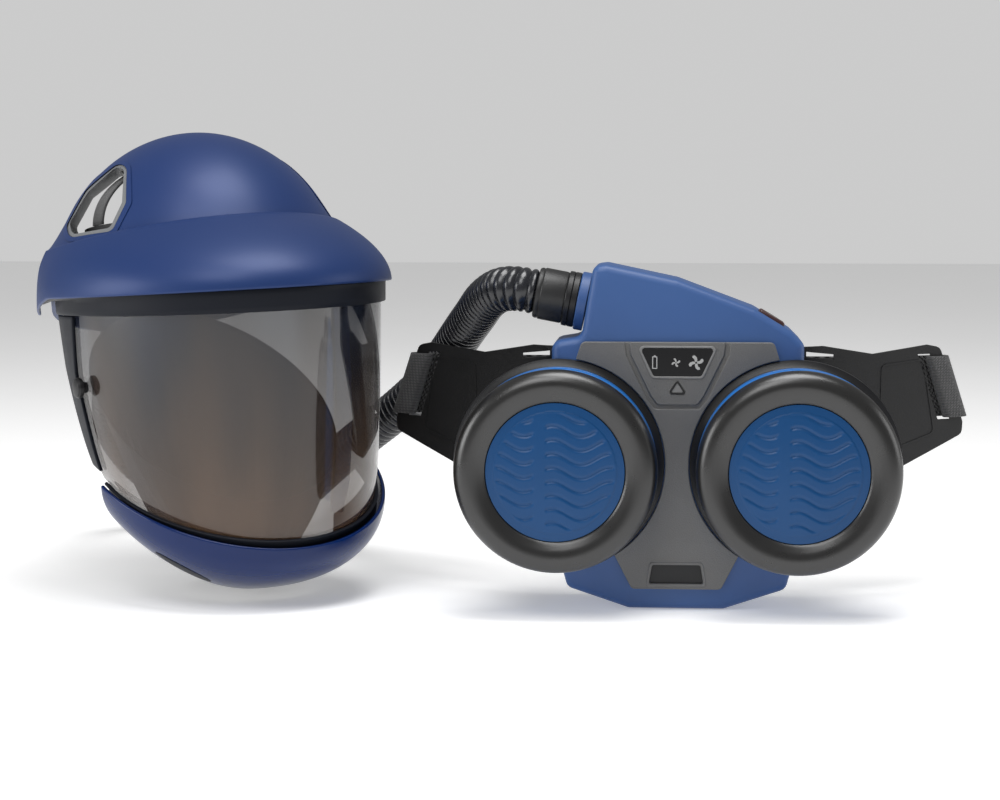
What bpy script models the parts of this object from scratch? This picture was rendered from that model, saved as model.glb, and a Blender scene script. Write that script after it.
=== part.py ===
"""Powered air respirator: visor helmet, breathing hose and belt-worn blower with two filters.

Metres, +Z up. The blower stands on its flat base at the origin and faces -Y. The helmet stands
beside it at -X, turned towards +X. Helmet parts are modelled in the helmet's own frame, in
which the face looks along -Y.
"""

import math

import bmesh
import bpy
from mathutils import Euler, Matrix, Vector

# ---------------------------------------------------------------- driving dimensions
GAP = 0.0003
WALL = 0.003

# blower casing, in the frame of the blower's own empty
UNIT_LIFT = 0.004
FILTER_X = 0.0745
FILTER_Z = 0.088
CASE_FRONT = -0.020
CASE_SPLIT = 0.008
CASE_BACK = 0.036
CASE_EDGE = 0.007
INLET_R = 0.0225
CUTOUT_R = 0.0672
OUTLET = Vector((-0.0567, 0.0080, 0.1885))
OUTLET_TILT = math.radians(10.8)
BATTERY_HALF = 0.040
BATTERY_LOW = 0.010
BATTERY_HIGH = 0.070
BELT_FRONT = CASE_BACK + GAP
BELT_THICK = 0.004

# hose
HOSE_D = 0.029
CUFF_R = 0.0166
HOSE_SIDES = 3

# helmet
HELMET_AT = Vector((-0.3050, 0.0620, 0.0123))
HELMET_SIZE = 0.9745
HELMET_TURN = (0.0, math.radians(-1.8), math.radians(34.0))
HELMET_BASE = -0.0035
SEAL_BASE = -0.0115
DOME_TOP = 0.297
DOME_EQUATOR = 0.219
DOME_HALF = 0.092
DOME_FRONT = 0.101
DOME_REAR = 0.108
DOME_FLARE = 0.10
DOME_Y = 0.018
STEP_SIDE = 0.2240
STEP_RISE = 0.0200
BROW_HALF = 0.1165
BROW_FRONT = 0.1460
BROW_REAR = 0.1300
PIVOT_Y = 0.030
PIVOT_Z = 0.2090
PIVOT_X = 0.1018
LENS_WALL = 0.0015

FINISHES = {
    "helmet_blue": ((0.020, 0.055, 0.200, 1.0), 0.38, 0.25),
    "case_blue": ((0.045, 0.105, 0.300, 1.0), 0.42, 0.10),
    "disc_blue": ((0.005, 0.060, 0.200, 1.0), 0.50, 0.0),
    "ring_blue": ((0.010, 0.130, 0.450, 1.0), 0.40, 0.0),
    "plate_grey": ((0.110, 0.112, 0.118, 1.0), 0.55, 0.10),
    "black_plastic": ((0.018, 0.018, 0.020, 1.0), 0.40, 0.0),
    "matt_black": ((0.022, 0.022, 0.024, 1.0), 0.60, 0.0),
    "gloss_black": ((0.010, 0.010, 0.012, 1.0), 0.12, 0.0),
    "rubber": ((0.020, 0.021, 0.026, 1.0), 0.65, 0.0),
    "lens": ((0.420, 0.330, 0.260, 1.0), 0.05, 0.0),
    "cloth": ((0.080, 0.100, 0.140, 1.0), 0.90, 0.0),
    "webbing": ((0.045, 0.045, 0.048, 1.0), 0.85, 0.0),
    "filter_paper": ((0.780, 0.760, 0.700, 1.0), 0.90, 0.0),
    "steel": ((0.560, 0.560, 0.570, 1.0), 0.35, 1.0),
    "brass": ((0.620, 0.450, 0.160, 1.0), 0.35, 1.0),
    "board_green": ((0.020, 0.160, 0.070, 1.0), 0.50, 0.0),
    "frame_grey": ((0.320, 0.330, 0.350, 1.0), 0.50, 0.0),
    "button_red": ((0.070, 0.020, 0.018, 1.0), 0.45, 0.0),
}


# ---------------------------------------------------------------- scene and finishing
def clear_scene():
    """Remove every object, so the script can run twice."""
    for item in list(bpy.data.objects):
        bpy.data.objects.remove(item, do_unlink=True)


def collection(name):
    """Return a collection of this name, linked to the scene."""
    found = bpy.data.collections.get(name)
    if found is None:
        found = bpy.data.collections.new(name)
        bpy.context.scene.collection.children.link(found)
    return found


def principled(name, finish):
    """Make the part's own material from a named finish."""
    colour, roughness, metallic = FINISHES[finish]
    made = bpy.data.materials.new(name + "_finish")
    made.use_nodes = True
    shader = made.node_tree.nodes["Principled BSDF"]
    shader.inputs["Base Color"].default_value = colour
    shader.inputs["Roughness"].default_value = roughness
    shader.inputs["Metallic"].default_value = metallic
    made.diffuse_color = colour
    return made


def blower_frame():
    """Empty that carries every piece of the blower above its base."""
    found = bpy.data.objects.get("blower_frame")
    if found is None:
        found = bpy.data.objects.new("blower_frame", None)
        found.location = (0.0, 0.0, UNIT_LIFT)
        collection("powered_air_respirator").objects.link(found)
    return found


def axis_empty(name, location, rotation=(0.0, 0.0, 0.0), parent=None):
    """Make an empty that carries the pieces turning or sliding about it."""
    made = bpy.data.objects.new(name, None)
    made.empty_display_size = 0.02
    made.location = location
    made.rotation_euler = rotation
    made.parent = parent or blower_frame()
    collection("powered_air_respirator").objects.link(made)
    return made


def add_part(item, name, finish, parent=None):
    """Name a finished solid, give it its material and put it under its parent."""
    item.name = name
    item.data.name = name
    item.data.materials.clear()
    item.data.materials.append(principled(name, finish))
    item.parent = parent or blower_frame()
    if item.type == "MESH":
        item.data.shade_smooth()
        item.data.set_sharp_from_angle(angle=math.radians(35.0))
    collection("powered_air_respirator").objects.link(item)
    return item


def add_cutter(item, parent=None):
    """Put a cutting solid with the cutters, out of the render."""
    item.parent = parent or blower_frame()
    item.hide_render = True
    item.display_type = "WIRE"
    collection("cutters").objects.link(item)
    return item


def boolean(item, other, operation="DIFFERENCE"):
    """Cut a cutter from a solid, or join it on."""
    step = item.modifiers.new(operation.title(), "BOOLEAN")
    step.operation = operation
    step.solver = "EXACT"
    step.object = other
    return item


# ---------------------------------------------------------------- basic shapes
def mesh_object(name, shape):
    """Turn a bmesh into an object and free it."""
    mesh = bpy.data.meshes.new(name)
    shape.to_mesh(mesh)
    shape.free()
    return bpy.data.objects.new(name, mesh)


def box(name, low, high, bevel=0.0, segments=2):
    """A block between two corners, its edges rounded by bevel."""
    shape = bmesh.new()
    bmesh.ops.create_cube(shape, size=1.0)
    low, high = Vector(low), Vector(high)
    size = high - low
    for vertex in shape.verts:
        vertex.co = low + Vector((vertex.co[i] + 0.5) * size[i] for i in range(3))
    if bevel > 0.0:
        bmesh.ops.bevel(shape, geom=shape.edges[:], offset=bevel, segments=segments,
                        affect="EDGES", profile=0.5)
    return mesh_object(name, shape)


def cylinder(name, radius, start, end, segments=32, bevel=0.0):
    """A cylinder from one point to another, its rims rounded by bevel."""
    start, end = Vector(start), Vector(end)
    shape = bmesh.new()
    bmesh.ops.create_cone(shape, cap_ends=True, segments=segments, radius1=radius,
                          radius2=radius, depth=(end - start).length)
    if bevel > 0.0:
        rims = [edge for edge in shape.edges if abs(edge.verts[0].co.z - edge.verts[1].co.z) < 1e-6]
        bmesh.ops.bevel(shape, geom=rims, offset=bevel, segments=2, affect="EDGES", profile=0.5)
    turn = Vector((0.0, 0.0, 1.0)).rotation_difference(end - start).to_matrix().to_4x4()
    shape.transform(Matrix.Translation((start + end) / 2.0) @ turn)
    return mesh_object(name, shape)


def turned(name, profile, steps=48, closed=False):
    """A solid turned about its Z axis from a profile of (radius, height) points."""
    shape = bmesh.new()
    points = [shape.verts.new((radius, 0.0, height)) for radius, height in profile]
    for first, second in zip(points, points[1:]):
        shape.edges.new((first, second))
    if closed:
        shape.edges.new((points[-1], points[0]))
    item = mesh_object(name, shape)
    screw = item.modifiers.new("Screw", "SCREW")
    screw.steps = steps
    screw.render_steps = steps
    screw.use_merge_vertices = True
    screw.merge_threshold = 0.00001
    return item


def arc(centre, radius, start, end, count):
    """Points along an arc, angles in degrees."""
    angles = [math.radians(start + (end - start) * i / count) for i in range(count + 1)]
    return [(centre[0] + radius * math.cos(a), centre[1] + radius * math.sin(a)) for a in angles]


def inset(points, distance):
    """Move each side of an outline inwards; the outline runs counter-clockwise."""
    moved = []
    total = len(points)
    for i in range(total):
        before, here, after = (Vector(points[(i + k) % total]) for k in (-1, 0, 1))
        first, second = (here - before).normalized(), (after - here).normalized()
        normal_a = Vector((-first.y, first.x))
        normal_b = Vector((-second.y, second.x))
        middle = (normal_a + normal_b).normalized()
        moved.append(tuple(here + middle * (distance / middle.dot(normal_a))))
    return moved


def rounded(points, radius, steps=3):
    """Round each corner of an outline by an arc of this radius."""
    result = []
    total = len(points)
    for i in range(total):
        before, here, after = (Vector(points[(i + k) % total]) for k in (-1, 0, 1))
        back, ahead = (before - here).normalized(), (after - here).normalized()
        half = back.angle(ahead) / 2.0
        reach = min(radius / math.tan(half), 0.45 * (before - here).length,
                    0.45 * (after - here).length)
        size = reach * math.tan(half)
        if size < 1e-5 or half > math.radians(88.0):
            result.append(tuple(here))
            continue
        centre = here + (back + ahead).normalized() * (size / math.sin(half))
        first, last = here + back * reach - centre, here + ahead * reach - centre
        for k in range(steps + 1):
            direction = first.slerp(last, k / steps).normalized()
            result.append(tuple(centre + direction * first.length))
    return result


def outline(name, points, front, back):
    """An outline in X and Z, extruded from front to back along Y."""
    curve = bpy.data.curves.new(name, "CURVE")
    curve.dimensions = "2D"
    curve.fill_mode = "BOTH"
    curve.extrude = (back - front) / 2.0
    curve.render_resolution_u = 0
    line = curve.splines.new("POLY")
    line.points.add(len(points) - 1)
    for point, (x, z) in zip(line.points, points):
        point.co = (x, z, 0.0, 1.0)
    line.use_cyclic_u = True
    holder = bpy.data.objects.new(name, curve)
    bpy.context.scene.collection.objects.link(holder)
    evaluated = holder.evaluated_get(bpy.context.evaluated_depsgraph_get())
    mesh = bpy.data.meshes.new_from_object(evaluated)
    bpy.data.objects.remove(holder, do_unlink=True)
    shape = bmesh.new()
    shape.from_mesh(mesh)
    bmesh.ops.remove_doubles(shape, verts=shape.verts[:], dist=0.00001)
    shape.transform(Matrix.Translation((0.0, (front + back) / 2.0, 0.0))
                    @ Matrix.Rotation(math.pi / 2.0, 4, "X"))
    bmesh.ops.recalc_face_normals(shape, faces=shape.faces[:])
    shape.to_mesh(mesh)
    shape.free()
    return bpy.data.objects.new(name, mesh)


def round_rim(item, depth, radius, segments=3):
    """Round the edges of a solid that lie in the plane Y = depth."""
    shape = bmesh.new()
    shape.from_mesh(item.data)
    bmesh.ops.dissolve_limit(shape, angle_limit=math.radians(0.5), verts=shape.verts[:],
                             edges=shape.edges[:])
    rim = [edge for edge in shape.edges
           if all(abs(vertex.co.y - depth) < 1e-6 for vertex in edge.verts)]
    bmesh.ops.bevel(shape, geom=rim, offset=radius, segments=segments, affect="EDGES",
                    profile=0.5, clamp_overlap=True)
    shape.to_mesh(item.data)
    shape.free()
    return item


def formed_sheet(name, columns, rows, place, thickness, ring=False):
    """A grid laid over a formed surface place(u, v), given a wall behind it."""
    shape = bmesh.new()
    bmesh.ops.create_grid(shape, x_segments=columns, y_segments=rows, size=1.0)
    for vertex in shape.verts:
        vertex.co = place(vertex.co.x, vertex.co.y)
    if ring:
        bmesh.ops.remove_doubles(shape, verts=shape.verts[:], dist=0.00001)
    item = mesh_object(name, shape)
    wall = item.modifiers.new("Wall", "SOLIDIFY")
    wall.thickness = thickness
    wall.offset = -1.0
    wall.use_even_offset = True
    return item


def blend(low, high, share):
    """Value between low and high."""
    return low + (high - low) * share


def oval(half, front, rear, angle, centre_y, height):
    """Point on an egg-shaped ring; the angle is 0 at the face and grows towards +X."""
    reach = front if math.cos(angle) > 0.0 else rear
    return Vector((half * math.sin(angle), centre_y - reach * math.cos(angle), height))


# ---------------------------------------------------------------- blower casing
def case_corners():
    """Corners of the blower's front outline, counter-clockwise from the base."""
    return [(-0.030, -UNIT_LIFT), (0.030, -UNIT_LIFT), (0.069, 0.009), (0.0735, 0.026),
            (0.098, 0.046), (0.108, 0.086), (0.098, 0.126), (0.079, 0.150), (0.079, 0.164),
            (0.071, 0.172), (0.048, 0.186), (0.0, 0.204), (-0.045, 0.2135), (-0.053, 0.2125),
            (-0.0605, 0.168), (-0.079, 0.165), (-0.079, 0.150), (-0.098, 0.126),
            (-0.108, 0.086), (-0.098, 0.046), (-0.0735, 0.026), (-0.069, 0.009)]


def outlet_direction():
    """Unit vector out of the blower's hose outlet."""
    return Vector((-math.cos(OUTLET_TILT), 0.0, math.sin(OUTLET_TILT)))


def outlet_bore():
    """Cutter for the hose outlet, shared by both casing halves."""
    reach = outlet_direction()
    return add_cutter(cylinder("outlet_bore", 0.0130, OUTLET - reach * 0.012,
                               OUTLET + reach * 0.010, 24))


def case_cavity(name, front, back):
    """Cutter for the hollow inside one casing half."""
    points = rounded(inset(case_corners(), WALL), 0.003, 2)
    return add_cutter(outline(name, points, front, back))


def build_case(bore):
    """Front and rear casing shells."""
    points = rounded(case_corners(), 0.006, 3)
    front = outline("front_housing", points, CASE_FRONT, CASE_SPLIT)
    round_rim(front, CASE_FRONT, CASE_EDGE)
    boolean(front, case_cavity("front_cavity", CASE_FRONT + WALL, CASE_SPLIT + 0.002))
    for side in (-1.0, 1.0):
        hole = cylinder("inlet_bore", INLET_R, (side * FILTER_X, CASE_FRONT - 0.01, FILTER_Z),
                        (side * FILTER_X, CASE_FRONT + 0.01, FILTER_Z), 24)
        boolean(front, add_cutter(hole))
    boolean(front, bore)
    boolean(front, add_cutter(button_socket(0.0006, 0.010)))
    add_part(front, "front_housing", "case_blue")

    rear = outline("rear_housing", points, CASE_SPLIT + GAP, CASE_BACK)
    round_rim(rear, CASE_BACK, 0.004, 2)
    boolean(rear, case_cavity("rear_cavity", CASE_SPLIT - 0.002, CASE_BACK - WALL))
    bay = box("battery_bay", (-BATTERY_HALF, CASE_BACK - 0.02, BATTERY_LOW),
              (BATTERY_HALF, CASE_BACK + 0.01, BATTERY_HIGH))
    boolean(rear, add_cutter(bay))
    boolean(rear, bore)
    catch = box("catch_slot", (0.060, 0.0125, 0.0155), (0.085, 0.0225, 0.0265))
    boolean(rear, add_cutter(catch))
    add_part(rear, "rear_housing", "case_blue")


def button_socket(margin, depth):
    """Block for the power button's hole, and with no margin for the button itself."""
    item = box("power_button_block", (-0.009 - margin, -0.009 - margin, -depth),
               (0.009 + margin, 0.009 + margin, 0.0022 if margin == 0.0 else 0.010),
               0.0 if margin > 0.0 else 0.0012)
    slope = math.atan2(0.014, 0.023)
    item.location = (0.0585, -0.004, 0.1793)
    item.rotation_euler = (0.0, slope, 0.0)
    return item


def build_front_plate():
    """Grey front plate between the filters, its window, lamp and badge."""
    right = [(0.0280, 0.0095), (0.0385, 0.0300), (0.0600, 0.0600), (0.0660, 0.1200),
             (0.0640, 0.1530), (0.0600, 0.1655)]
    left = [(-x, z) for x, z in reversed(right)]
    points = rounded(right + left, 0.003, 2)
    plate = outline("front_plate", points, CASE_FRONT - 0.0045, CASE_FRONT - GAP)
    for side in (-1.0, 1.0):
        hole = cylinder("plate_cutout", CUTOUT_R, (side * FILTER_X, CASE_FRONT - 0.01, FILTER_Z),
                        (side * FILTER_X, CASE_FRONT + 0.01, FILTER_Z), 64)
        boolean(plate, add_cutter(hole))
    front = CASE_FRONT - 0.0045
    window = [(-0.0150, 0.1440), (0.0150, 0.1440), (0.0235, 0.1620), (-0.0235, 0.1620)]
    lamp = [(-0.0055, 0.1330), (0.0055, 0.1330), (0.0, 0.1415)]
    badge = [(-0.0170, 0.0130), (0.0170, 0.0130), (0.0150, 0.0250), (-0.0150, 0.0250)]
    for name, shape, radius, finish, proud in (
            ("display_window", window, 0.0025, "gloss_black", 0.0004),
            ("warning_lamp", lamp, 0.0010, "frame_grey", 0.0002),
            ("name_badge", badge, 0.0015, "black_plastic", 0.0)):
        pocket = outline(name + "_pocket", rounded(shape, radius, 2), front - 0.01, front + 0.0025)
        boolean(plate, add_cutter(pocket))
        piece = outline(name, rounded(inset(shape, GAP), radius, 2), front - proud,
                        front + 0.0025 - GAP)
        add_part(piece, name, finish)
    add_part(plate, "front_plate", "plate_grey")


def build_buttons():
    """Power button on the top slope and the battery catch at the right end."""
    button = button_socket(0.0, 0.0070)
    add_part(button, "power_button", "button_red")
    axis = axis_empty("battery_catch_axis", (0.0750, 0.0175, 0.0210))
    catch = box("battery_catch", (-0.0100, -0.0046, -0.0051), (0.0012, 0.0046, 0.0051), 0.0008)
    add_part(catch, "battery_catch", "matt_black", axis)


def build_inner_works():
    """Fan, motor and electronics inside the casing."""
    hub = axis_empty("fan_axis", (0.0, 0.0, 0.098), (math.pi / 2.0, 0.0, 0.0))
    scroll = [(0.0440, 0.0120), (0.0440, -0.0060), (0.0060, -0.0060), (0.0060, -0.0045),
              (0.0420, -0.0045), (0.0420, 0.0105), (0.0200, 0.0105), (0.0200, 0.0120)]
    add_part(turned("fan_scroll", scroll, 32, True), "fan_scroll", "matt_black", hub)
    wheel = turned("impeller", [(0.0, 0.0060), (0.0080, 0.0050), (0.0100, -0.0020),
                                (0.0390, -0.0020), (0.0390, -0.0035), (0.0, -0.0035)], 28)
    for index in range(12):
        blade = box("impeller_blade", (0.0200, -0.0006, -0.0030), (0.0370, 0.0006, 0.0080))
        blade.rotation_euler = (0.0, 0.0, math.tau * index / 12.0)
        boolean(wheel, add_cutter(blade, hub), "UNION")
    add_part(wheel, "impeller", "matt_black", hub)
    motor = [(0.0, -0.0070), (0.0160, -0.0070), (0.0170, -0.0080), (0.0170, -0.0270),
             (0.0150, -0.0290), (0.0, -0.0290)]
    add_part(turned("fan_motor", motor, 32), "fan_motor", "steel", hub)
    shaft = cylinder("motor_shaft", 0.0020, (0.0, 0.0, -0.0067), (0.0, 0.0, -0.0038), 12)
    add_part(shaft, "motor_shaft", "steel", hub)
    board = box("circuit_board", (-0.030, -0.0140, 0.1460), (0.030, -0.0124, 0.1640))
    add_part(board, "circuit_board", "board_green")
    pack = box("battery_pack", (-BATTERY_HALF + GAP, 0.0100, BATTERY_LOW + GAP),
               (BATTERY_HALF - GAP, CASE_BACK + 0.0085, BATTERY_HIGH - GAP), 0.0025)
    add_part(pack, "battery_pack", "matt_black")


# ---------------------------------------------------------------- filters
def filter_profiles():
    """Sections of the pieces of one filter, as (radius, height over the plate)."""
    adapter = [(0.0620, 0.0050), (0.0625, 0.0030), (0.0600, 0.0), (0.0230, 0.0),
               (0.0230, 0.0020), (0.0550, 0.0020), (0.0590, 0.0050)]
    body = [(0.0616, 0.0245), (0.0622, 0.0230), (0.0622, 0.0095), (0.0550, 0.0060),
            (0.0218, 0.0060), (0.0218, -0.0030), (0.0192, -0.0030), (0.0192, 0.0085),
            (0.0593, 0.0105), (0.0593, 0.0245)]
    media = [(0.0, 0.0240), (0.0590, 0.0240), (0.0590, 0.0112), (0.0, 0.0112)]
    crest = arc((0.0533, 0.0400), 0.0097, 150.0, 0.0, 5)
    cap = (crest + [(0.0626, 0.0320), (0.0612, 0.0248), (0.0590, 0.0248),
           (0.0598, 0.0330), (0.0560, 0.0420), (0.0390, 0.0395), (0.0390, 0.0415),
           (0.0430, 0.0418)])
    disc = [(0.0, 0.0492), (0.0250, 0.0486), (0.0415, 0.0470), (0.0427, 0.0455),
            (0.0427, 0.0421), (0.0, 0.0421)]
    return adapter, body, media, cap, disc


def build_filter(side_name, side):
    """One filter: screw adapter, canister, paper, pre-filter holder and cover disc."""
    adapter, body, media, cap, disc = filter_profiles()
    centre = (side * FILTER_X, CASE_FRONT - GAP, FILTER_Z)
    fixed = axis_empty("adapter_axis_" + side_name, centre, (math.pi / 2.0, 0.0, 0.0))
    turning = axis_empty("filter_axis_" + side_name, centre, (math.pi / 2.0, 0.0, 0.0))
    add_part(turned("adapter", adapter, 36, True), "filter_adapter_" + side_name,
             "black_plastic", fixed)
    add_part(turned("body", body, 36, True), "filter_body_" + side_name, "ring_blue", turning)
    add_part(turned("media", media, 28), "filter_paper_" + side_name, "filter_paper", turning)
    add_part(turned("cap", cap, 36, True), "filter_cap_" + side_name, "black_plastic", turning)
    add_part(turned("disc", disc, 32), "cover_disc_" + side_name, "disc_blue", turning)


# ---------------------------------------------------------------- belt
WING_ROOT = 0.086
WING_SWEEP = 0.36
WING_ANGLE = math.radians(30.0)


def sweep_back(x):
    """How far the belt plate runs back at this X: it curves round the waist."""
    beyond = max(abs(x) - WING_ROOT, 0.0)
    return WING_SWEEP * beyond + 1.2 * beyond * beyond


def wing_corners():
    """Right half of the belt plate's outline, from the bottom middle upwards."""
    return [(0.0, 0.0790), (0.1120, 0.0740), (0.1400, 0.0745), (0.1890, 0.0980),
            (0.1895, 0.1060), (0.1730, 0.1560), (0.1640, 0.1580), (0.1270, 0.1530),
            (0.0940, 0.1590), (0.0, 0.1560)]


def wing_edge(height):
    """X of the wing's slanted outer edge at this height."""
    return blend(0.1895, 0.1730, (height - 0.1060) / 0.0500)


def build_belt_plate():
    """Plate behind the casing with swept wings and their slots."""
    right = wing_corners()
    left = [(-x, z) for x, z in reversed(right[1:-1])]
    plate = outline("belt_plate", rounded(right + left, 0.004, 2), BELT_FRONT,
                    BELT_FRONT + BELT_THICK)
    shape = bmesh.new()
    shape.from_mesh(plate.data)
    for side in (-1.0, 1.0):
        for station in (WING_ROOT, 0.110, 0.130, 0.150, 0.170):
            bmesh.ops.bisect_plane(shape, geom=shape.verts[:] + shape.edges[:] + shape.faces[:],
                                   plane_co=(side * station, 0.0, 0.0), plane_no=(1.0, 0.0, 0.0))
    bmesh.ops.triangulate(shape, faces=shape.faces[:])
    for vertex in shape.verts:
        vertex.co.y += sweep_back(vertex.co.x)
    shape.to_mesh(plate.data)
    shape.free()
    low, high = 0.1080, 0.1520
    for side in (-1.0, 1.0):
        upper = [(0.0830, 0.1520), (0.1010, 0.1500), (0.1010, 0.1535), (0.0830, 0.1555)]
        strap = [(wing_edge(low) - 0.0168, low), (wing_edge(low) - 0.0084, low),
                 (wing_edge(high) - 0.0084, high), (wing_edge(high) - 0.0168, high)]
        for name, corners in (("upper_slot", upper), ("strap_slot", strap)):
            mirrored = [(side * x, z) for x, z in corners]
            hole = outline(name, mirrored, BELT_FRONT - 0.02, BELT_FRONT + 0.08)
            boolean(plate, add_cutter(hole))
    add_part(plate, "belt_plate", "matt_black")


def strap_plan(height):
    """Plan of the right webbing at this height: buckle, back of the wing, edge, slot."""
    edge = wing_edge(height)
    corner = Vector((edge, BELT_FRONT + BELT_THICK / 2.0 + sweep_back(edge)))
    along = Vector((math.cos(WING_ANGLE), math.sin(WING_ANGLE)))
    behind = Vector((-along.y, along.x))
    wrap = [(0.0270, 0.0070), (0.0120, 0.0060), (0.0010, 0.0052), (-0.0024, 0.0040),
            (-0.0034, 0.0012), (-0.0026, -0.0018), (0.0006, -0.0036), (0.0060, -0.0038),
            (0.0112, -0.0037), (0.0134, -0.0024), (0.0138, 0.0004)]
    run = [Vector((0.0050, 0.0650)), Vector((0.0500, 0.0650)), Vector((0.0900, 0.0650)),
           Vector((0.1180, 0.0660)), Vector((0.1380, 0.0700))]
    return run + [corner - along * inward + behind * back for inward, back in wrap]


def build_belt():
    """Webbing on both wings, brought together behind the unit by a buckle."""
    last = len(strap_plan(0.13)) - 1
    for side_name, side in (("left", -1.0), ("right", 1.0)):
        def place(u, v, side=side):
            height = blend(0.1095, 0.1505, (v + 1.0) / 2.0)
            point = strap_plan(height)[round((u + 1.0) / 2.0 * last)]
            return Vector((side * point.x, point.y, height))
        strap = formed_sheet("webbing", last, 1, place, 0.0016)
        strap.modifiers["Wall"].offset = 0.0
        add_part(strap, "belt_webbing_" + side_name, "webbing")
    socket = box("buckle_socket", (-0.0290, 0.0525, 0.1050), (0.0020, 0.0635, 0.1550), 0.0025)
    add_part(socket, "buckle_socket", "matt_black")
    plug = box("buckle_plug", (0.0023, 0.0535, 0.1070), (0.0290, 0.0625, 0.1530), 0.0020)
    add_part(plug, "buckle_plug", "matt_black")


# ---------------------------------------------------------------- hose
def hose_route():
    """Centreline of the hose, from the blower's cuff to the helmet's cuff."""
    reach = outlet_direction()
    start = OUTLET + reach * (0.0340 + GAP) + Vector((0.0, 0.0, UNIT_LIFT))
    turn = Euler(HELMET_TURN).to_matrix()
    leave = turn @ INLET_AXIS
    end = HELMET_AT + turn @ (INLET_AT + INLET_AXIS * 0.0700) * HELMET_SIZE + leave * GAP
    return [start, start + reach * 0.008, Vector((-0.1045, 0.0180, 0.2000)),
            Vector((-0.1160, 0.0360, 0.1920)), Vector((-0.1285, 0.0620, 0.1795)),
            Vector((-0.1420, 0.0910, 0.1660)), Vector((-0.1540, 0.1150, 0.1520)),
            Vector((-0.1690, 0.1350, 0.1350)), Vector((-0.1850, 0.1520, 0.1190)),
            Vector((-0.2030, 0.1690, 0.1035)), Vector((-0.2225, 0.1880, 0.0880)),
            Vector((-0.2430, 0.2100, 0.0710)), Vector((-0.2640, 0.2360, 0.0520)),
            Vector((-0.2860, 0.2630, 0.0330)), Vector((-0.3110, 0.2860, 0.0200)),
            Vector((-0.3420, 0.3030, 0.0170)), Vector((-0.3740, 0.3090, 0.0240)),
            Vector((-0.4010, 0.2990, 0.0400)), Vector((-0.4190, 0.2770, 0.0640)),
            Vector((-0.4240, 0.2500, 0.0930)), end + leave * 0.0160, end]


def smooth_path(points, spacing):
    """Points at even spacing on a smooth curve through the route's points."""
    ends = [points[0] * 2.0 - points[1]] + points + [points[-1] * 2.0 - points[-2]]
    fine = []
    for i in range(1, len(ends) - 2):
        before, here, after, beyond = ends[i - 1], ends[i], ends[i + 1], ends[i + 2]
        for k in range(20):
            t = k / 20.0
            fine.append(0.5 * ((2.0 * here) + (after - before) * t
                               + (2.0 * before - 5.0 * here + 4.0 * after - beyond) * t * t
                               + (3.0 * here - before - 3.0 * after + beyond) * t * t * t))
    fine.append(points[-1].copy())
    total = sum((b - a).length for a, b in zip(fine, fine[1:]))
    count = max(int(round(total / spacing)), 2)
    even = [fine[0]]
    walked, target = 0.0, total / count
    for a, b in zip(fine, fine[1:]):
        step = (b - a).length
        while step > 0.0 and walked + step >= target and len(even) < count:
            even.append(a.lerp(b, (target - walked) / step))
            target += total / count
        walked += step
    even.append(fine[-1])
    return even


def tube(name, points, diameter, resolution):
    """A round tube along the points, with closed ends."""
    curve = bpy.data.curves.new(name, "CURVE")
    curve.dimensions = "3D"
    curve.bevel_depth = diameter / 2.0
    curve.bevel_resolution = resolution
    curve.use_fill_caps = True
    curve.render_resolution_u = 0
    line = curve.splines.new("POLY")
    line.points.add(len(points) - 1)
    for point, place in zip(line.points, points):
        point.co = (*place, 1.0)
    return bpy.data.objects.new(name, curve)


def build_hose():
    """Breathing hose with its outlet collar, bayonet ring and cuff at the blower."""
    reach = outlet_direction()
    turn = Vector((0.0, 0.0, 1.0)).rotation_difference(reach).to_euler()
    axis = axis_empty("outlet_axis", OUTLET, turn)
    collar = [(0.0187, 0.0070), (0.0187, 0.0012), (0.0130, 0.0012), (0.0130, 0.0070)]
    add_part(turned("collar", collar, 28, True), "outlet_collar", "case_blue", axis)
    ring = [(0.0172, 0.0150), (0.0176, 0.0143), (0.0176, 0.0080), (0.0172, 0.0073),
            (0.0125, 0.0073), (0.0125, 0.0150)]
    add_part(turned("ring", ring, 28, True), "bayonet_ring", "black_plastic", axis)
    cuff = [(0.0158, 0.0340), (0.0166, 0.0330), (CUFF_R, 0.0160), (0.0162, 0.0153),
            (0.0125, 0.0153), (0.0125, 0.0340)]
    add_part(turned("cuff", cuff, 28, True), "hose_cuff_unit", "rubber", axis)
    route = hose_route()
    path = [route[0]] + smooth_path(route[1:-1], 0.024) + [route[-1]]
    add_part(tube("breathing_hose", path, HOSE_D, HOSE_SIDES), "breathing_hose", "rubber",
             axis_empty("hose_frame", (0.0, 0.0, -UNIT_LIFT)))


# ---------------------------------------------------------------- helmet
def dome_ring(angle, height, clearance=0.0):
    """Point on the outside of the dome above its equator, at this angle from the face."""
    climb = max((height - DOME_EQUATOR) / (DOME_TOP - DOME_EQUATOR), 0.0) ** 0.8
    wide = math.sqrt(max(1.0 - climb * climb, 0.0)) * flare(climb)
    return oval(DOME_HALF * wide + clearance, DOME_FRONT * wide + clearance,
                DOME_REAR * wide + clearance, angle, DOME_Y, height)


def flare(climb):
    """Widening of the dome towards its rim."""
    return 1.0 + DOME_FLARE * max(1.0 - 2.0 * climb, 0.0) ** 2


def dome_point(normal):
    """Map a point of the unit sphere to the outside of the dome."""
    angle = math.atan2(normal.x, -normal.y)
    if normal.z >= 0.0:
        return dome_ring(angle, blend(DOME_EQUATOR, DOME_TOP, normal.z ** 1.25))
    point = dome_ring(angle, DOME_EQUATOR)
    shrink = 1.0 - 0.12 * normal.z ** 2
    return Vector((point.x * shrink, DOME_Y + (point.y - DOME_Y) * shrink,
                   DOME_EQUATOR + 0.130 * normal.z))


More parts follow.
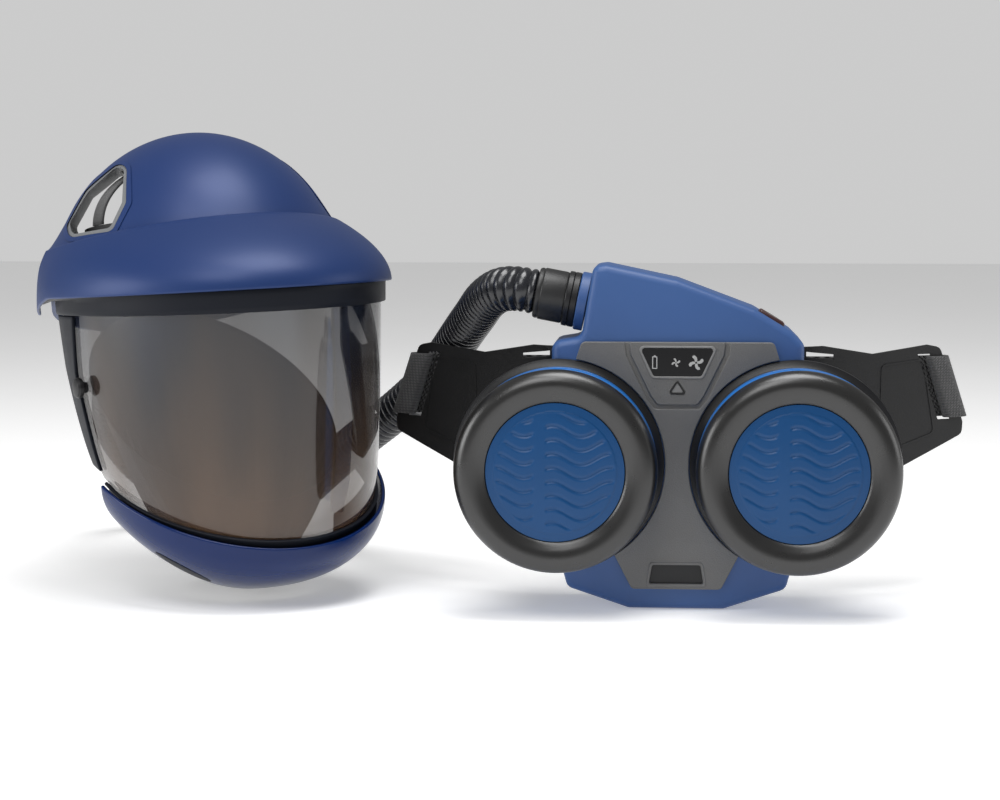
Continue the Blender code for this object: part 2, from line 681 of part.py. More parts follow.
def window_cutter(side):
    """Slanting bar that opens the side window and the rear opening."""
    corners = [(-0.0540, 0.2800), (-0.0810, 0.2590), (-0.0940, 0.2380), (-0.0915, 0.2290),
               (-0.0640, 0.2310), (-0.0555, 0.2480)]
    bar = outline("window_bar", rounded(corners, 0.004, 2), -0.15, 0.18)
    slope = Matrix.Rotation(math.radians(-5.0), 4, "X")
    turn = Matrix.Rotation(math.radians(-23.5), 4, "Z")
    shift = Matrix.Translation((0.0, 0.0, 0.255))
    bar.data.transform(turn @ shift @ slope @ shift.inverted())
    if side > 0.0:
        bar.data.transform(Matrix.Diagonal((-1.0, 1.0, 1.0, 1.0)))
        bar.data.flip_normals()
    return bar


def build_helmet_shell(helmet):
    """Dome shell, open below, with side windows and a rear opening."""
    shape = bmesh.new()
    bmesh.ops.create_uvsphere(shape, u_segments=32, v_segments=18, radius=1.0)
    for vertex in shape.verts:
        vertex.co = dome_point(vertex.co.copy())
    whole = shape.verts[:] + shape.edges[:] + shape.faces[:]
    bmesh.ops.bisect_plane(shape, geom=whole, plane_co=(0.0, -0.090, 0.228),
                           plane_no=(0.0, -0.33, -1.0), clear_outer=True)
    shell = mesh_object("helmet_shell", shape)
    wall = shell.modifiers.new("Wall", "SOLIDIFY")
    wall.thickness = WALL
    wall.offset = -1.0
    for side in (-1.0, 1.0):
        boolean(shell, add_cutter(window_cutter(side), helmet))
    inlet = cylinder("inlet_hole", 0.0165, INLET_AT - INLET_AXIS * 0.02,
                     INLET_AT + INLET_AXIS * 0.06, 24)
    boolean(shell, add_cutter(inlet, helmet))
    add_part(shell, "helmet_shell", "helmet_blue", helmet)


INLET_AT = Vector((0.0, 0.1180, 0.1880))
INLET_AXIS = Vector((0.0, 0.80, -0.60))


def build_helmet_inside(helmet):
    """Head harness, air duct and hose inlet."""
    def harness(name, low, high, half, front, rear, thickness, finish, tilt=0.0):
        def place(u, v):
            height = blend(low, high, (v + 1.0) / 2.0)
            point = oval(half, front, rear, math.pi * u, DOME_Y, height)
            point.z += tilt * (point.y - DOME_Y)
            return point
        strip = formed_sheet(name, 32, 1, place, thickness, True)
        add_part(strip, name, finish, helmet)

    harness("headband", 0.2080, 0.2360, 0.0760, 0.0850, 0.0880, 0.0018, "matt_black", -0.10)

    def pad(u, v):
        height = blend(0.2180, 0.2395, (v + 1.0) / 2.0)
        return oval(0.0738, 0.0828, 0.0850, u * 1.1, DOME_Y, height)
    add_part(formed_sheet("sweatband", 18, 1, pad, 0.0030), "sweatband", "cloth", helmet)

    for name, heading in (("crown_strap_front", 0.0), ("crown_strap_side", math.pi / 2.0)):
        lift = 0.0 if heading == 0.0 else 0.0024

        def strap(u, v, heading=heading, lift=lift):
            sweep = u * math.radians(88.0)
            along, across = math.sin(sweep), v * 0.009
            x, y = across, 0.0805 * along
            if heading > 0.0:
                x, y = 0.0728 * along, across
            height = 0.2320 + lift + 0.0460 * math.cos(sweep) ** 0.9 - 0.10 * y
            return Vector((x, y + DOME_Y, height))
        item = formed_sheet(name, 16, 1, strap, 0.0016)
        if heading > 0.0:
            item.data.flip_normals()
        add_part(item, name, "webbing", helmet)

    ratchet = box("ratchet_housing", (-0.0240, 0.1075, 0.2010), (0.0240, 0.1190, 0.2230), 0.003)
    add_part(ratchet, "ratchet_housing", "matt_black", helmet)


def build_inlet(helmet):
    """Air inlet at the nape with the hose's cuff."""
    turn = Vector((0.0, 0.0, 1.0)).rotation_difference(INLET_AXIS).to_euler()
    axis = axis_empty("inlet_axis", INLET_AT, turn, helmet)
    inlet = [(0.0160, 0.0400), (0.0160, 0.0100), (0.0125, 0.0100), (0.0125, 0.0400)]
    add_part(turned("inlet", inlet, 24, True), "helmet_inlet", "matt_black", axis)
    cuff = [(0.0166, 0.0700), (0.0172, 0.0690), (0.0172, 0.0415), (0.0166, 0.0403),
            (0.0125, 0.0403), (0.0125, 0.0700)]
    add_part(turned("cuff", cuff, 24, True), "hose_cuff_helmet", "rubber", axis)


def lens_ring(angle, share, offset):
    """Point on the lens surface: share runs 0 at the bottom edge to 1 at the top."""
    low = 0.0320 + 0.0360 * (1.0 - math.cos(angle))
    height = blend(low, 0.1850 + 0.0060 * math.cos(angle), share)
    wide = max(share, 0.0) ** 0.45
    half = blend(0.0900, 0.1055, wide) + offset
    front = blend(0.0970, 0.1290, wide) + offset
    return oval(half, front, 0.1150 + offset, angle, blend(-0.030, -0.011, wide), height)


def lens_end(share):
    """Angle at which the lens ends at its sides: further back towards the top."""
    return math.radians(blend(88.0, 101.0, min(max(share, 0.0) * 1.6, 1.0)))


def build_visor(helmet):
    """Lifting visor: brow cover, seal, lens, gasket, chin guard and side arms."""
    axis = axis_empty("visor_axis", (0.0, PIVOT_Y, PIVOT_Z), parent=helmet)

    def visor_part(name, columns, rows, place, thickness, finish):
        def shifted(u, v):
            return place(u, v) - Vector((0.0, PIVOT_Y, PIVOT_Z))
        add_part(formed_sheet(name, columns, rows, shifted, thickness), name, finish, axis)

    def brow(u, v):
        share = (v + 1.0) / 2.0
        angle = u * math.radians(118.0 - 18.0 * share)
        dip = 0.0110 * max(abs(angle) / math.radians(118.0) - 0.78, 0.0) / 0.22
        low = oval(BROW_HALF, BROW_FRONT, BROW_REAR, angle, 0.0,
                   0.1900 + 0.0080 * math.cos(angle) - dip)
        high = dome_ring(angle, STEP_SIDE + STEP_RISE * math.cos(angle), 0.0050)
        point = low.lerp(high, share ** 2.0)
        point.z = blend(low.z, high.z, share)
        return point
    visor_part("brow_cover", 26, 5, brow, 0.0022, "helmet_blue")

    def seal(u, v):
        return lens_ring(u * math.radians(106.0), blend(0.950, 1.015, (v + 1.0) / 2.0), 0.0030)
    visor_part("brow_seal", 26, 1, seal, 0.0024, "rubber")

    def lens(u, v):
        share = (v + 1.0) / 2.0
        return lens_ring(u * lens_end(share), share, 0.0)
    visor_part("visor_lens", 26, 6, lens, LENS_WALL, "lens")

    def gasket(u, v):
        share = blend(-0.01, 0.045, (v + 1.0) / 2.0)
        return lens_ring(u * lens_end(share), share, 0.0030)
    visor_part("lens_gasket", 26, 1, gasket, 0.0024, "rubber")

    def chin(u, v):
        angle, share = u * math.radians(94.0), (v + 1.0) / 2.0
        high = 0.0400 + 0.0340 * (1.0 - math.cos(angle))
        low = HELMET_BASE + 0.0380 * (1.0 - math.cos(angle)) ** 1.5
        height = blend(low, high, share)
        tuck = 0.70 * math.sqrt(max(math.cos(angle), 0.0))
        bowl = math.sqrt(1.0 - tuck * (1.0 - share) ** 2.2)
        return oval(0.1002 * bowl, 0.1116 * bowl, 0.1216 * bowl, angle, -0.025, height)
    visor_part("chin_guard", 26, 4, chin, 0.0025, "helmet_blue")

    for name, side in (("left", -1.0), ("right", 1.0)):
        def arm(u, v, side=side):
            share = blend(0.10, 0.945, (v + 1.0) / 2.0)
            angle = side * (lens_end(share) - math.radians(blend(5.0, -1.0, (u * side + 1.0) / 2.0)))
            return lens_ring(angle, share, 0.0030)
        visor_part("side_arm_" + name, 1, 8, arm, 0.0024, "matt_black")

    for name, side in (("left", -1.0), ("right", 1.0)):
        place = lens_ring(side * math.radians(85.0), 0.56, 0.0006)
        knob_axis = axis_empty("visor_knob_axis_" + name,
                               place - Vector((0.0, PIVOT_Y, PIVOT_Z)),
                               (0.0, side * math.pi / 2.0, 0.0), axis)
        knob = [(0.0, 0.0085), (0.0055, 0.0080), (0.0068, 0.0065), (0.0068, 0.0040),
                (0.0040, 0.0032), (0.0035, 0.0), (0.0, 0.0)]
        add_part(turned("knob", knob, 20), "visor_knob_" + name, "matt_black", knob_axis)


def build_pivots(helmet):
    """Pivot pins of the visor and the ratchet knob of the headband."""
    for name, side in (("left", -1.0), ("right", 1.0)):
        pin_axis = axis_empty("pivot_axis_" + name, (side * PIVOT_X, PIVOT_Y, PIVOT_Z),
                              (0.0, side * math.pi / 2.0, 0.0), helmet)
        pin = [(0.0, 0.0022), (0.0060, 0.0018), (0.0060, 0.0), (0.0, 0.0)]
        add_part(turned("pin", pin, 16), "pivot_pin_" + name, "steel", pin_axis)
    knob_axis = axis_empty("ratchet_axis", (0.0, 0.1193, 0.2120), (-math.pi / 2.0, 0.0, 0.0),
                           helmet)
    knob = [(0.0, 0.0070), (0.0085, 0.0065), (0.0095, 0.0055), (0.0095, 0.0), (0.0, 0.0)]
    add_part(turned("ratchet_knob", knob, 24), "ratchet_knob", "matt_black", knob_axis)


def build_face_seal(helmet):
    """Fabric skirt from the nape and the jaw down to the neck opening."""
    def place(u, v):
        angle, share = math.pi * u, (v + 1.0) / 2.0
        rise = blend(0.055, 0.170, (1.0 - math.cos(angle)) / 2.0)
        height = blend(SEAL_BASE, rise, share)
        wide = share ** 0.8
        return oval(blend(0.0360, 0.0820, wide), blend(0.0400, 0.0960, wide),
                    blend(0.0450, 0.1050, wide), angle, blend(0.0, 0.004, share), height)
    add_part(formed_sheet("face_seal", 32, 4, place, 0.0025, True), "face_seal", "cloth", helmet)


def build_helmet():
    """All helmet pieces, under an empty that carries the helmet's place and turn."""
    helmet = axis_empty("helmet_frame", HELMET_AT - Vector((0.0, 0.0, UNIT_LIFT)), HELMET_TURN)
    helmet.scale = (HELMET_SIZE, HELMET_SIZE, HELMET_SIZE)
    build_helmet_shell(helmet)
    build_helmet_inside(helmet)
    build_inlet(helmet)
    build_visor(helmet)
    build_pivots(helmet)
    build_face_seal(helmet)


def main():
    """Build the whole respirator."""
    clear_scene()
    build_case(outlet_bore())
    build_front_plate()
    build_buttons()
    build_inner_works()
    build_filter("left", -1.0)
    build_filter("right", 1.0)
    build_belt_plate()
    build_belt()
    build_hose()
    build_helmet()


main()
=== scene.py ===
"""Looks of the powered air respirator: visor helmet, breathing hose, belt and fan unit."""

import logging
import math
from dataclasses import dataclass, field
from enum import Enum
from typing import Callable, Iterable, Sequence

import bmesh
import bpy
from mathutils import Euler, Matrix, Vector


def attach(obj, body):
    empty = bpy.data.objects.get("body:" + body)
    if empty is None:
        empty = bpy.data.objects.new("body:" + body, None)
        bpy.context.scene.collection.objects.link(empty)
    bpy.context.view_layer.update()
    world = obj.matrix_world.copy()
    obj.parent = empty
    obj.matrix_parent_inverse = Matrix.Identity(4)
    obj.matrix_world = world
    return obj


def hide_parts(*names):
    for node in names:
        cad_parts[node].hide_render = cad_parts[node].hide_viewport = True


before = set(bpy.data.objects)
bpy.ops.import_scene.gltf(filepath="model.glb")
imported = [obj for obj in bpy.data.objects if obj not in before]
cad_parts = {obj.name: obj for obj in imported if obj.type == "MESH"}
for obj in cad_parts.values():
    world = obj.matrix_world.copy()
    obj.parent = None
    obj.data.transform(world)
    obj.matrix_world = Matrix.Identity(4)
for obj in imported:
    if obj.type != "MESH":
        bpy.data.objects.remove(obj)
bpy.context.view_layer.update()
LOG = logging.getLogger("respirator")
Point2 = tuple[float, float]
Place = Callable[[float, float], Vector]

UNIT_LIFT = 0.004
GAP = 0.0003
FILTER_X = 0.0745
FILTER_Z = 0.088
CASE_FRONT = -0.020
BELT_FRONT = 0.0363
BELT_THICK = 0.004
MERGE = 0.00001
SIDES = (("left", -1.0), ("right", 1.0))
UP = Vector((0.0, 0.0, 1.0))
UNIT = Matrix.Translation((0.0, 0.0, UNIT_LIFT))


# ------------------------------------------------------------------ shader graph
class Value:
    """A number socket whose arithmetic adds Math nodes."""

    def __init__(self, graph: "Graph", socket: bpy.types.NodeSocket) -> None:
        """Wrap a socket.

        Args:
            graph: The graph that owns it.
            socket: The output that carries the number.
        """
        self.graph = graph
        self.socket = socket

    def _math(self, operation: str, first: object, second: object) -> "Value":
        """Add one Math node.

        Args:
            operation: Blender's name for the operation.
            first: Left operand.
            second: Right operand.

        Returns:
            The node's result.
        """
        return self.graph.value("ShaderNodeMath", {"operation": operation}, {0: first, 1: second})

    def __add__(self, other: object) -> "Value":
        """Sum."""
        return self._math("ADD", self, other)

    __radd__ = __add__

    def __sub__(self, other: object) -> "Value":
        """Difference."""
        return self._math("SUBTRACT", self, other)

    def __rsub__(self, other: object) -> "Value":
        """Difference the other way round."""
        return self._math("SUBTRACT", other, self)

    def __mul__(self, other: object) -> "Value":
        """Product."""
        return self._math("MULTIPLY", self, other)

    __rmul__ = __mul__

    def __truediv__(self, other: object) -> "Value":
        """Quotient."""
        return self._math("DIVIDE", self, other)

    def sine(self) -> "Value":
        """Sine of the number."""
        return self._math("SINE", self, 0.0)


class Graph:
    """The node tree of one material."""

    def __init__(self, name: str) -> None:
        """Start a material with a Principled shader.

        Args:
            name: Name of the material.
        """
        self.material = bpy.data.materials.new(name)
        self.material.use_nodes = True
        self.tree = self.material.node_tree
        self.shader = self.tree.nodes["Principled BSDF"]

    def node(self, kind: str, settings: dict | None = None,
             inputs: dict | None = None) -> bpy.types.Node:
        """Add a node.

        Args:
            kind: Blender's type name.
            settings: Properties, set before the sockets.
            inputs: Socket name or index to a number, a socket or a Value.

        Returns:
            The node.
        """
        made = self.tree.nodes.new(kind)
        for key, setting in (settings or {}).items():
            if key == "stops":
                self._stops(made, setting)
            else:
                setattr(made, key, setting)
        for key, value in (inputs or {}).items():
            self.feed(made.inputs[key], value)
        return made

    def _stops(self, ramp: bpy.types.Node, stops: Sequence[tuple[float, tuple]]) -> None:
        """Set a ramp's stops.

        Args:
            ramp: The Color Ramp node.
            stops: Pairs of position and colour.
        """
        elements = ramp.color_ramp.elements
        while len(elements) < len(stops):
            elements.new(0.5)
        for element, (position, colour) in zip(elements, stops):
            element.position = position
            element.color = colour

    def feed(self, socket: bpy.types.NodeSocket, value: object) -> None:
        """Give a socket a number or a link.

        Args:
            socket: The input.
            value: A number, a socket or a Value.
        """
        if isinstance(value, Value):
            value = value.socket
        if isinstance(value, bpy.types.NodeSocket):
            self.tree.links.new(value, socket)
        else:
            socket.default_value = value

    def value(self, kind: str, settings: dict | None = None, inputs: dict | None = None,
              output: str | int = 0) -> Value:
        """Add a node and wrap one of its outputs.

        Args:
            kind: Blender's type name.
            settings: Properties.
            inputs: Socket values.
            output: Which output.

        Returns:
            The wrapped output.
        """
        return Value(self, self.node(kind, settings, inputs).outputs[output])

    def coords(self, output: str = "Object") -> bpy.types.NodeSocket:
        """Coordinates on the piece itself."""
        return self.node("ShaderNodeTexCoord").outputs[output]

    def noise(self, scale: float, detail: float = 3.0, where: object = None) -> Value:
        """Noise in object space.

        Args:
            scale: Cells per metre.
            detail: Octaves.
            where: Coordinates, or None for object space.

        Returns:
            Noise from 0 to 1.
        """
        return self.value("ShaderNodeTexNoise", {}, {"Vector": where or self.coords(),
                                                     "Scale": scale, "Detail": detail})

    def mix(self, share: object, low: tuple, high: tuple) -> bpy.types.NodeSocket:
        """Mix two colours by a share from 0 to 1.

        Args:
            share: The mixing number.
            low: Colour at 0.
            high: Colour at 1.

        Returns:
            The mixed colour.
        """
        made = self.node("ShaderNodeMix", {"data_type": "RGBA"}, {0: share, 6: low, 7: high})
        return made.outputs[2]

    def ramp(self, value: object, stops: Sequence[tuple[float, tuple]]) -> bpy.types.NodeSocket:
        """Pass a number through a colour ramp.

        Args:
            value: The number.
            stops: Pairs of position and colour.

        Returns:
            The ramp's colour.
        """
        return self.node("ShaderNodeValToRGB", {"stops": stops}, {0: value}).outputs[0]

    def bump(self, height: object, distance: float, strength: float = 1.0) -> None:
        """Feed the shader's normal from a height.

        Args:
            height: Height from 0 to 1.
            distance: Depth of the relief in metres.
            strength: Share of it that shows.
        """
        made = self.node("ShaderNodeBump", {}, {"Height": height, "Distance": distance,
                                                "Strength": strength})
        self.feed(self.shader.inputs["Normal"], made.outputs[0])

    def dress(self, **values: object) -> bpy.types.Material:
        """Set the shader's sockets.

        Args:
            **values: Socket names with underscores, and their values.

        Returns:
            The material.
        """
        for key, value in values.items():
            self.feed(self.shader.inputs[key.replace("_", " ")], value)
        return self.material


def tint(colour: Sequence[float], share: float) -> tuple[float, float, float, float]:
    """A colour made lighter or darker, with alpha."""
    return (colour[0] * share, colour[1] * share, colour[2] * share, 1.0)


@dataclass(frozen=True)
class Moulded:
    """Moulded plastic with a fine grain and slight mottling."""

    colour: tuple[float, float, float]
    roughness: float = 0.45
    grain: float = 2600.0
    depth: float = 0.00008
    coat: float = 0.0
    specular: float = 0.5
    mottle: float = 0.10

    def make(self, name: str) -> bpy.types.Material:
        """Build the material.

        Args:
            name: Name of the material.

        Returns:
            The material.
        """
        graph = Graph(name)
        cloud = graph.noise(26.0, 4.0)
        base = graph.mix(cloud, tint(self.colour, 1.0 - self.mottle),
                         tint(self.colour, 1.0 + self.mottle))
        rough = graph.noise(90.0, 3.0) * 0.10 + (self.roughness - 0.05)
        graph.bump(graph.noise(self.grain, 2.0), self.depth)
        return graph.dress(Base_Color=base, Roughness=rough, Coat_Weight=self.coat,
                           Coat_Roughness=0.12, Specular_IOR_Level=self.specular)


@dataclass(frozen=True)
class PearlBlue:
    """Deep blue pearl lacquer of the helmet, with painted light: paler towards the top of the dome, as if
    lit from above.
    """

    deep: tuple[float, float, float] = (0.0035, 0.028, 0.122)
    pale: tuple[float, float, float] = (0.020, 0.040, 0.145)
    roughness: float = 0.46

    def make(self, name: str) -> bpy.types.Material:
        """Build the material.

        Args:
            name: Name of the material.

        Returns:
            The material.
        """
        graph = Graph(name)
        height = graph.value("ShaderNodeSeparateXYZ", {}, {0: graph.coords()}, "Z")
        cloud = graph.noise(14.0, 3.0)
        # Painted light: the share runs towards the pale blue higher up the dome, standing in for light
        # falling on its top; the cloud adds random tone.
        share = (height - 0.19) * 2.4 + cloud * 0.55
        base = graph.mix(share, (*self.deep, 1.0), (*self.pale, 1.0))
        flake = graph.noise(2400.0, 1.0)
        graph.bump(graph.noise(750.0, 2.0), 0.00005, 0.6)
        rough = flake * 0.12 + (self.roughness - 0.06)
        return graph.dress(Base_Color=base, Roughness=rough, Metallic=0.20,
                           Coat_Weight=0.10, Coat_Roughness=0.30, Specular_IOR_Level=0.35)


@dataclass(frozen=True)
class ClearLens:
    """Clear lens with a bronze cast that cools towards its top."""

    low: float = 0.02
    high: float = 0.20

    def make(self, name: str) -> bpy.types.Material:
        """Build the material.

        Args:
            name: Name of the material.

        Returns:
            The material.
        """
        graph = Graph(name)
        where = graph.coords()
        height = graph.value("ShaderNodeSeparateXYZ", {}, {0: where}, "Z")
        share = (height - self.low) / (self.high - self.low)
        stretched = graph.node("ShaderNodeMapping", {}, {"Vector": where,
                                                         "Scale": (26.0, 26.0, 5.0)})
        streak = graph.noise(1.0, 1.0, stretched.outputs[0])
        tone = share * 0.75 + (streak - 0.5) * 0.9 + 0.06
        base = graph.ramp(tone, ((0.0, (0.150, 0.085, 0.048, 1.0)),
                                 (0.40, (0.066, 0.043, 0.030, 1.0)),
                                 (0.70, (0.030, 0.027, 0.029, 1.0)),
                                 (1.0, (0.014, 0.022, 0.042, 1.0))))
        alpha = 0.80 - streak * 0.36
        return graph.dress(Base_Color=base, Roughness=0.04, Alpha=alpha, IOR=1.58,
                           Coat_Weight=0.35, Coat_Roughness=0.02, Specular_IOR_Level=0.5)


@dataclass(frozen=True)
class Woven:
    """Woven cloth or webbing, its threads laid along the piece's own UV map."""

    light: tuple[float, float, float]
    dark: tuple[float, float, float]
    across: float = 16.0
    along: float = 60.0
    depth: float = 0.0005
    roughness: float = 0.85

    def make(self, name: str) -> bpy.types.Material:
        """Build the material.

        Args:
            name: Name of the material.

        Returns:
            The material.
        """
        graph = Graph(name)
        parts = graph.node("ShaderNodeSeparateXYZ", {}, {0: graph.coords("UV")})
        along, across = Value(graph, parts.outputs[0]), Value(graph, parts.outputs[1])
        warp = (across * (math.tau * self.across)).sine()
        weft = (along * (math.tau * self.along)).sine()
        knot = warp * weft * 0.5 + 0.5
        fuzz = graph.noise(900.0, 2.0)
        share = (knot - 0.5) * 1.7 + 0.42 + fuzz * 0.2
        base = graph.mix(share, (*self.dark, 1.0), (*self.light, 1.0))
        graph.bump(knot * 0.9 + fuzz * 0.1, self.depth)
        return graph.dress(Base_Color=base, Roughness=self.roughness, Sheen_Weight=0.25,
                           Sheen_Roughness=0.5)


@dataclass(frozen=True)
class Metal:
    """Turned metal with fine machining marks."""

    colour: tuple[float, float, float] = (0.55, 0.55, 0.57)
    roughness: float = 0.30

    def make(self, name: str) -> bpy.types.Material:
        """Build the material.

        Args:
            name: Name of the material.

        Returns:
            The material.
        """
        graph = Graph(name)
        marks = graph.noise(1500.0, 3.0)
        base = graph.mix(graph.noise(120.0), tint(self.colour, 0.85), tint(self.colour, 1.05))
        graph.bump(marks, 0.00003)
        return graph.dress(Base_Color=base, Roughness=marks * 0.15 + (self.roughness - 0.07),
                           Metallic=1.0)


@dataclass(frozen=True)
class Paper:
    """Pleated filter paper: pale folds with fibres, with painted shade darkening the valleys between the
    folds.
    """

    colour: tuple[float, float, float] = (0.75, 0.72, 0.66)

    def make(self, name: str) -> bpy.types.Material:
        """Build the material.

        Args:
            name: Name of the material.

        Returns:
            The material.
        """
        graph = Graph(name)
        where = graph.node("ShaderNodeSeparateXYZ", {}, {0: graph.coords()})
        fold = (Value(graph, where.outputs[0]) * 1900.0).sine() * 0.5 + 0.5
        fibre = graph.noise(1600.0, 3.0)
        # Painted shade: the colour darkens with the fold wave, in the valleys of the pleats.
        base = graph.mix(fold * 0.6 + fibre * 0.4, tint(self.colour, 0.72), tint(self.colour, 1.0))
        graph.bump(fold, 0.0009)
        return graph.dress(Base_Color=base, Roughness=0.92)


class Finish(Enum):
    """Every finish on the respirator.

    A plastic gives its colour, roughness, grain, depth, coat, specular and mottle.
    """

    HELMET_BLUE = PearlBlue()
    CHIN_BLUE = Moulded((0.0010, 0.0145, 0.088), 0.22, 1800.0, 0.00001, 0.0, 0.32)
    CASE_BLUE = Moulded((0.036, 0.092, 0.255), 0.42, 2600.0, 0.00007, 0.0, 0.45, 0.06)
    DISC_BLUE = Moulded((0.0006, 0.050, 0.165), 0.38, 2200.0, 0.00004, 0.0, 0.35, 0.06)
    RING_BLUE = Moulded((0.010, 0.160, 0.520), 0.30, 1600.0, 0.00003, 0.3)
    PLATE_GREY = Moulded((0.125, 0.124, 0.122), 0.44, 1500.0, 0.00024, 0.0, 0.5, 0.16)
    RIM_GREY = Moulded((0.200, 0.198, 0.195), 0.42, 1500.0, 0.00008)
    CAP_BLACK = Moulded((0.0085, 0.0082, 0.0080), 0.29, 3200.0, 0.00003, 0.0, 0.75)
    BLACK = Moulded((0.008, 0.008, 0.009), 0.38, 2600.0, 0.00005, 0.0, 0.40)
    WING_BLACK = Moulded((0.0085, 0.0085, 0.0090), 0.50, 1700.0, 0.00016, 0.0, 0.40)
    WINDOW_BLACK = Moulded((0.004, 0.004, 0.005), 0.16, 900.0, 0.00001, 0.0, 0.30)
    ICON_GREY = Moulded((0.420, 0.420, 0.410), 0.45, 1200.0, 0.00002)
    BUTTON_RED = Moulded((0.045, 0.014, 0.013), 0.40, 1800.0, 0.00005)
    HOSE_RUBBER = Moulded((0.0090, 0.0100, 0.0135), 0.27, 1500.0, 0.00005, 0.2, 0.6)
    CUFF_RUBBER = Moulded((0.0130, 0.0130, 0.0135), 0.42, 1700.0, 0.00010)
    SEAL_RUBBER = Moulded((0.0055, 0.0070, 0.0120), 0.45, 1900.0, 0.00008, 0.0, 0.18)
    LINER_GREY = Moulded((0.150, 0.155, 0.160), 0.50, 1300.0, 0.00008)
    BOARD_GREEN = Moulded((0.010, 0.085, 0.035), 0.35, 700.0, 0.00010, 0.3)
    LENS = ClearLens()
    CLOTH = Woven((0.042, 0.048, 0.062), (0.018, 0.021, 0.030), 90.0, 320.0, 0.00003)
    PAD = Woven((0.050, 0.055, 0.070), (0.020, 0.022, 0.030), 14.0, 90.0, 0.0004)
    WEBBING = Woven((0.085, 0.085, 0.087), (0.002, 0.002, 0.0025), 11.0, 68.0, 0.0010)
    PAPER = Paper()
    STEEL = Metal()


class Finishes:
    """Makes each finish once."""

    made: dict[Finish, bpy.types.Material] = {}

    @classmethod
    def get(cls, finish: Finish) -> bpy.types.Material:
        """The finish's material.

        Args:
            finish: Which finish.

        Returns:
            Its material.
        """
        if finish not in cls.made:
            cls.made[finish] = finish.value.make("finish_" + finish.name.lower())
        return cls.made[finish]


# ------------------------------------------------------------------ shapes
def publish(shape: bmesh.types.BMesh | bpy.types.Mesh, name: str, body: str, finish: Finish,
            replaces: Iterable[str] = (), sharp: float = 35.0) -> bpy.types.Object:
    """Turn a finished shape into a piece that rides on a body.

    Args:
        shape: The shape, in world metres.
        name: Name of the piece.
        body: CAD body that carries it.
        finish: Its finish.
        replaces: CAD nodes it stands for.
        sharp: Angle in degrees past which an edge stays sharp.

    Returns:
        The piece.
    """
    if isinstance(shape, bmesh.types.BMesh):
        mesh = bpy.data.meshes.new(name)
        shape.to_mesh(mesh)
        shape.free()
    else:
        mesh = shape
    mesh.shade_smooth()
    mesh.set_sharp_from_angle(angle=math.radians(sharp))
    mesh.materials.clear()
    mesh.materials.append(Finishes.get(finish))
    piece = bpy.data.objects.new(name, mesh)
    bpy.context.scene.collection.objects.link(piece)
    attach(piece, body)
    if replaces:
        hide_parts(*replaces)
    LOG.info("piece %s on %s, %d faces", name, body, len(mesh.polygons))
    return piece


def add_wall(piece: bpy.types.Object, thickness: float, offset: float = -1.0) -> None:
    """Give an open sheet its thickness.

    Args:
        piece: The sheet.
        thickness: Wall in metres.
        offset: -1 grows it inwards, 0 both ways.
    """
    wall = piece.modifiers.new("Wall", "SOLIDIFY")
    wall.thickness = thickness
    wall.offset = offset
    wall.use_even_offset = True


def add_bevel(piece: bpy.types.Object, width: float, segments: int = 2,
              angle: float = 40.0) -> None:
    """Round the piece's sharp edges.

    Args:
        piece: The piece.
        width: Width of the rounding.
        segments: Steps in it.
        angle: Edges sharper than this many degrees are rounded.
    """
    step = piece.modifiers.new("Rounding", "BEVEL")
    step.width = width
    step.segments = segments
    step.limit_method = "ANGLE"
    step.angle_limit = math.radians(angle)


def refined(node: str, body: str, finish: Finish, bevel: float = 0.0006,
            sharp: float = 38.0, segments: int = 2) -> bpy.types.Object:
    """Smooth-shaded copy of a CAD node with rounded edges.

    Args:
        node: Name of the node.
        body: Body that carries it.
        finish: Its finish.
        bevel: Rounding of its sharp edges, 0 for none.
        sharp: Angle in degrees past which an edge stays sharp.
        segments: Steps in the rounding.

    Returns:
        The piece.
    """
    shape = bmesh.new()
    shape.from_mesh(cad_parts[node].data)
    bmesh.ops.remove_doubles(shape, verts=shape.verts[:], dist=MERGE)
    bmesh.ops.dissolve_limit(shape, angle_limit=math.radians(0.6), verts=shape.verts[:],
                             edges=shape.edges[:])
    piece = publish(shape, node + "_finished", body, finish, (node,), sharp)
    if bevel > 0.0:
        add_bevel(piece, bevel, segments, sharp)
    return piece


def formed(columns: int, rows: int, place: Place, matrix: Matrix,
           ring: bool = False) -> bmesh.types.BMesh:
    """A grid laid over a formed surface, with a UV map that follows it.

    Args:
        columns: Faces along u.
        rows: Faces along v.
        place: Surface point for u and v from -1 to 1.
        matrix: Place of the surface in the world.
        ring: Join the first and last column.

    Returns:
        The open surface.
    """
    shape = bmesh.new()
    bmesh.ops.create_grid(shape, x_segments=columns, y_segments=rows, size=1.0, calc_uvs=True)
    layer = shape.loops.layers.uv.verify()
    for face in shape.faces:
        for loop in face.loops:
            loop[layer].uv = ((loop.vert.co.x + 1.0) / 2.0, (loop.vert.co.y + 1.0) / 2.0)
    for vertex in shape.verts:
        vertex.co = matrix @ place(vertex.co.x, vertex.co.y)
    if ring:
        bmesh.ops.remove_doubles(shape, verts=shape.verts[:], dist=MERGE)
    return shape


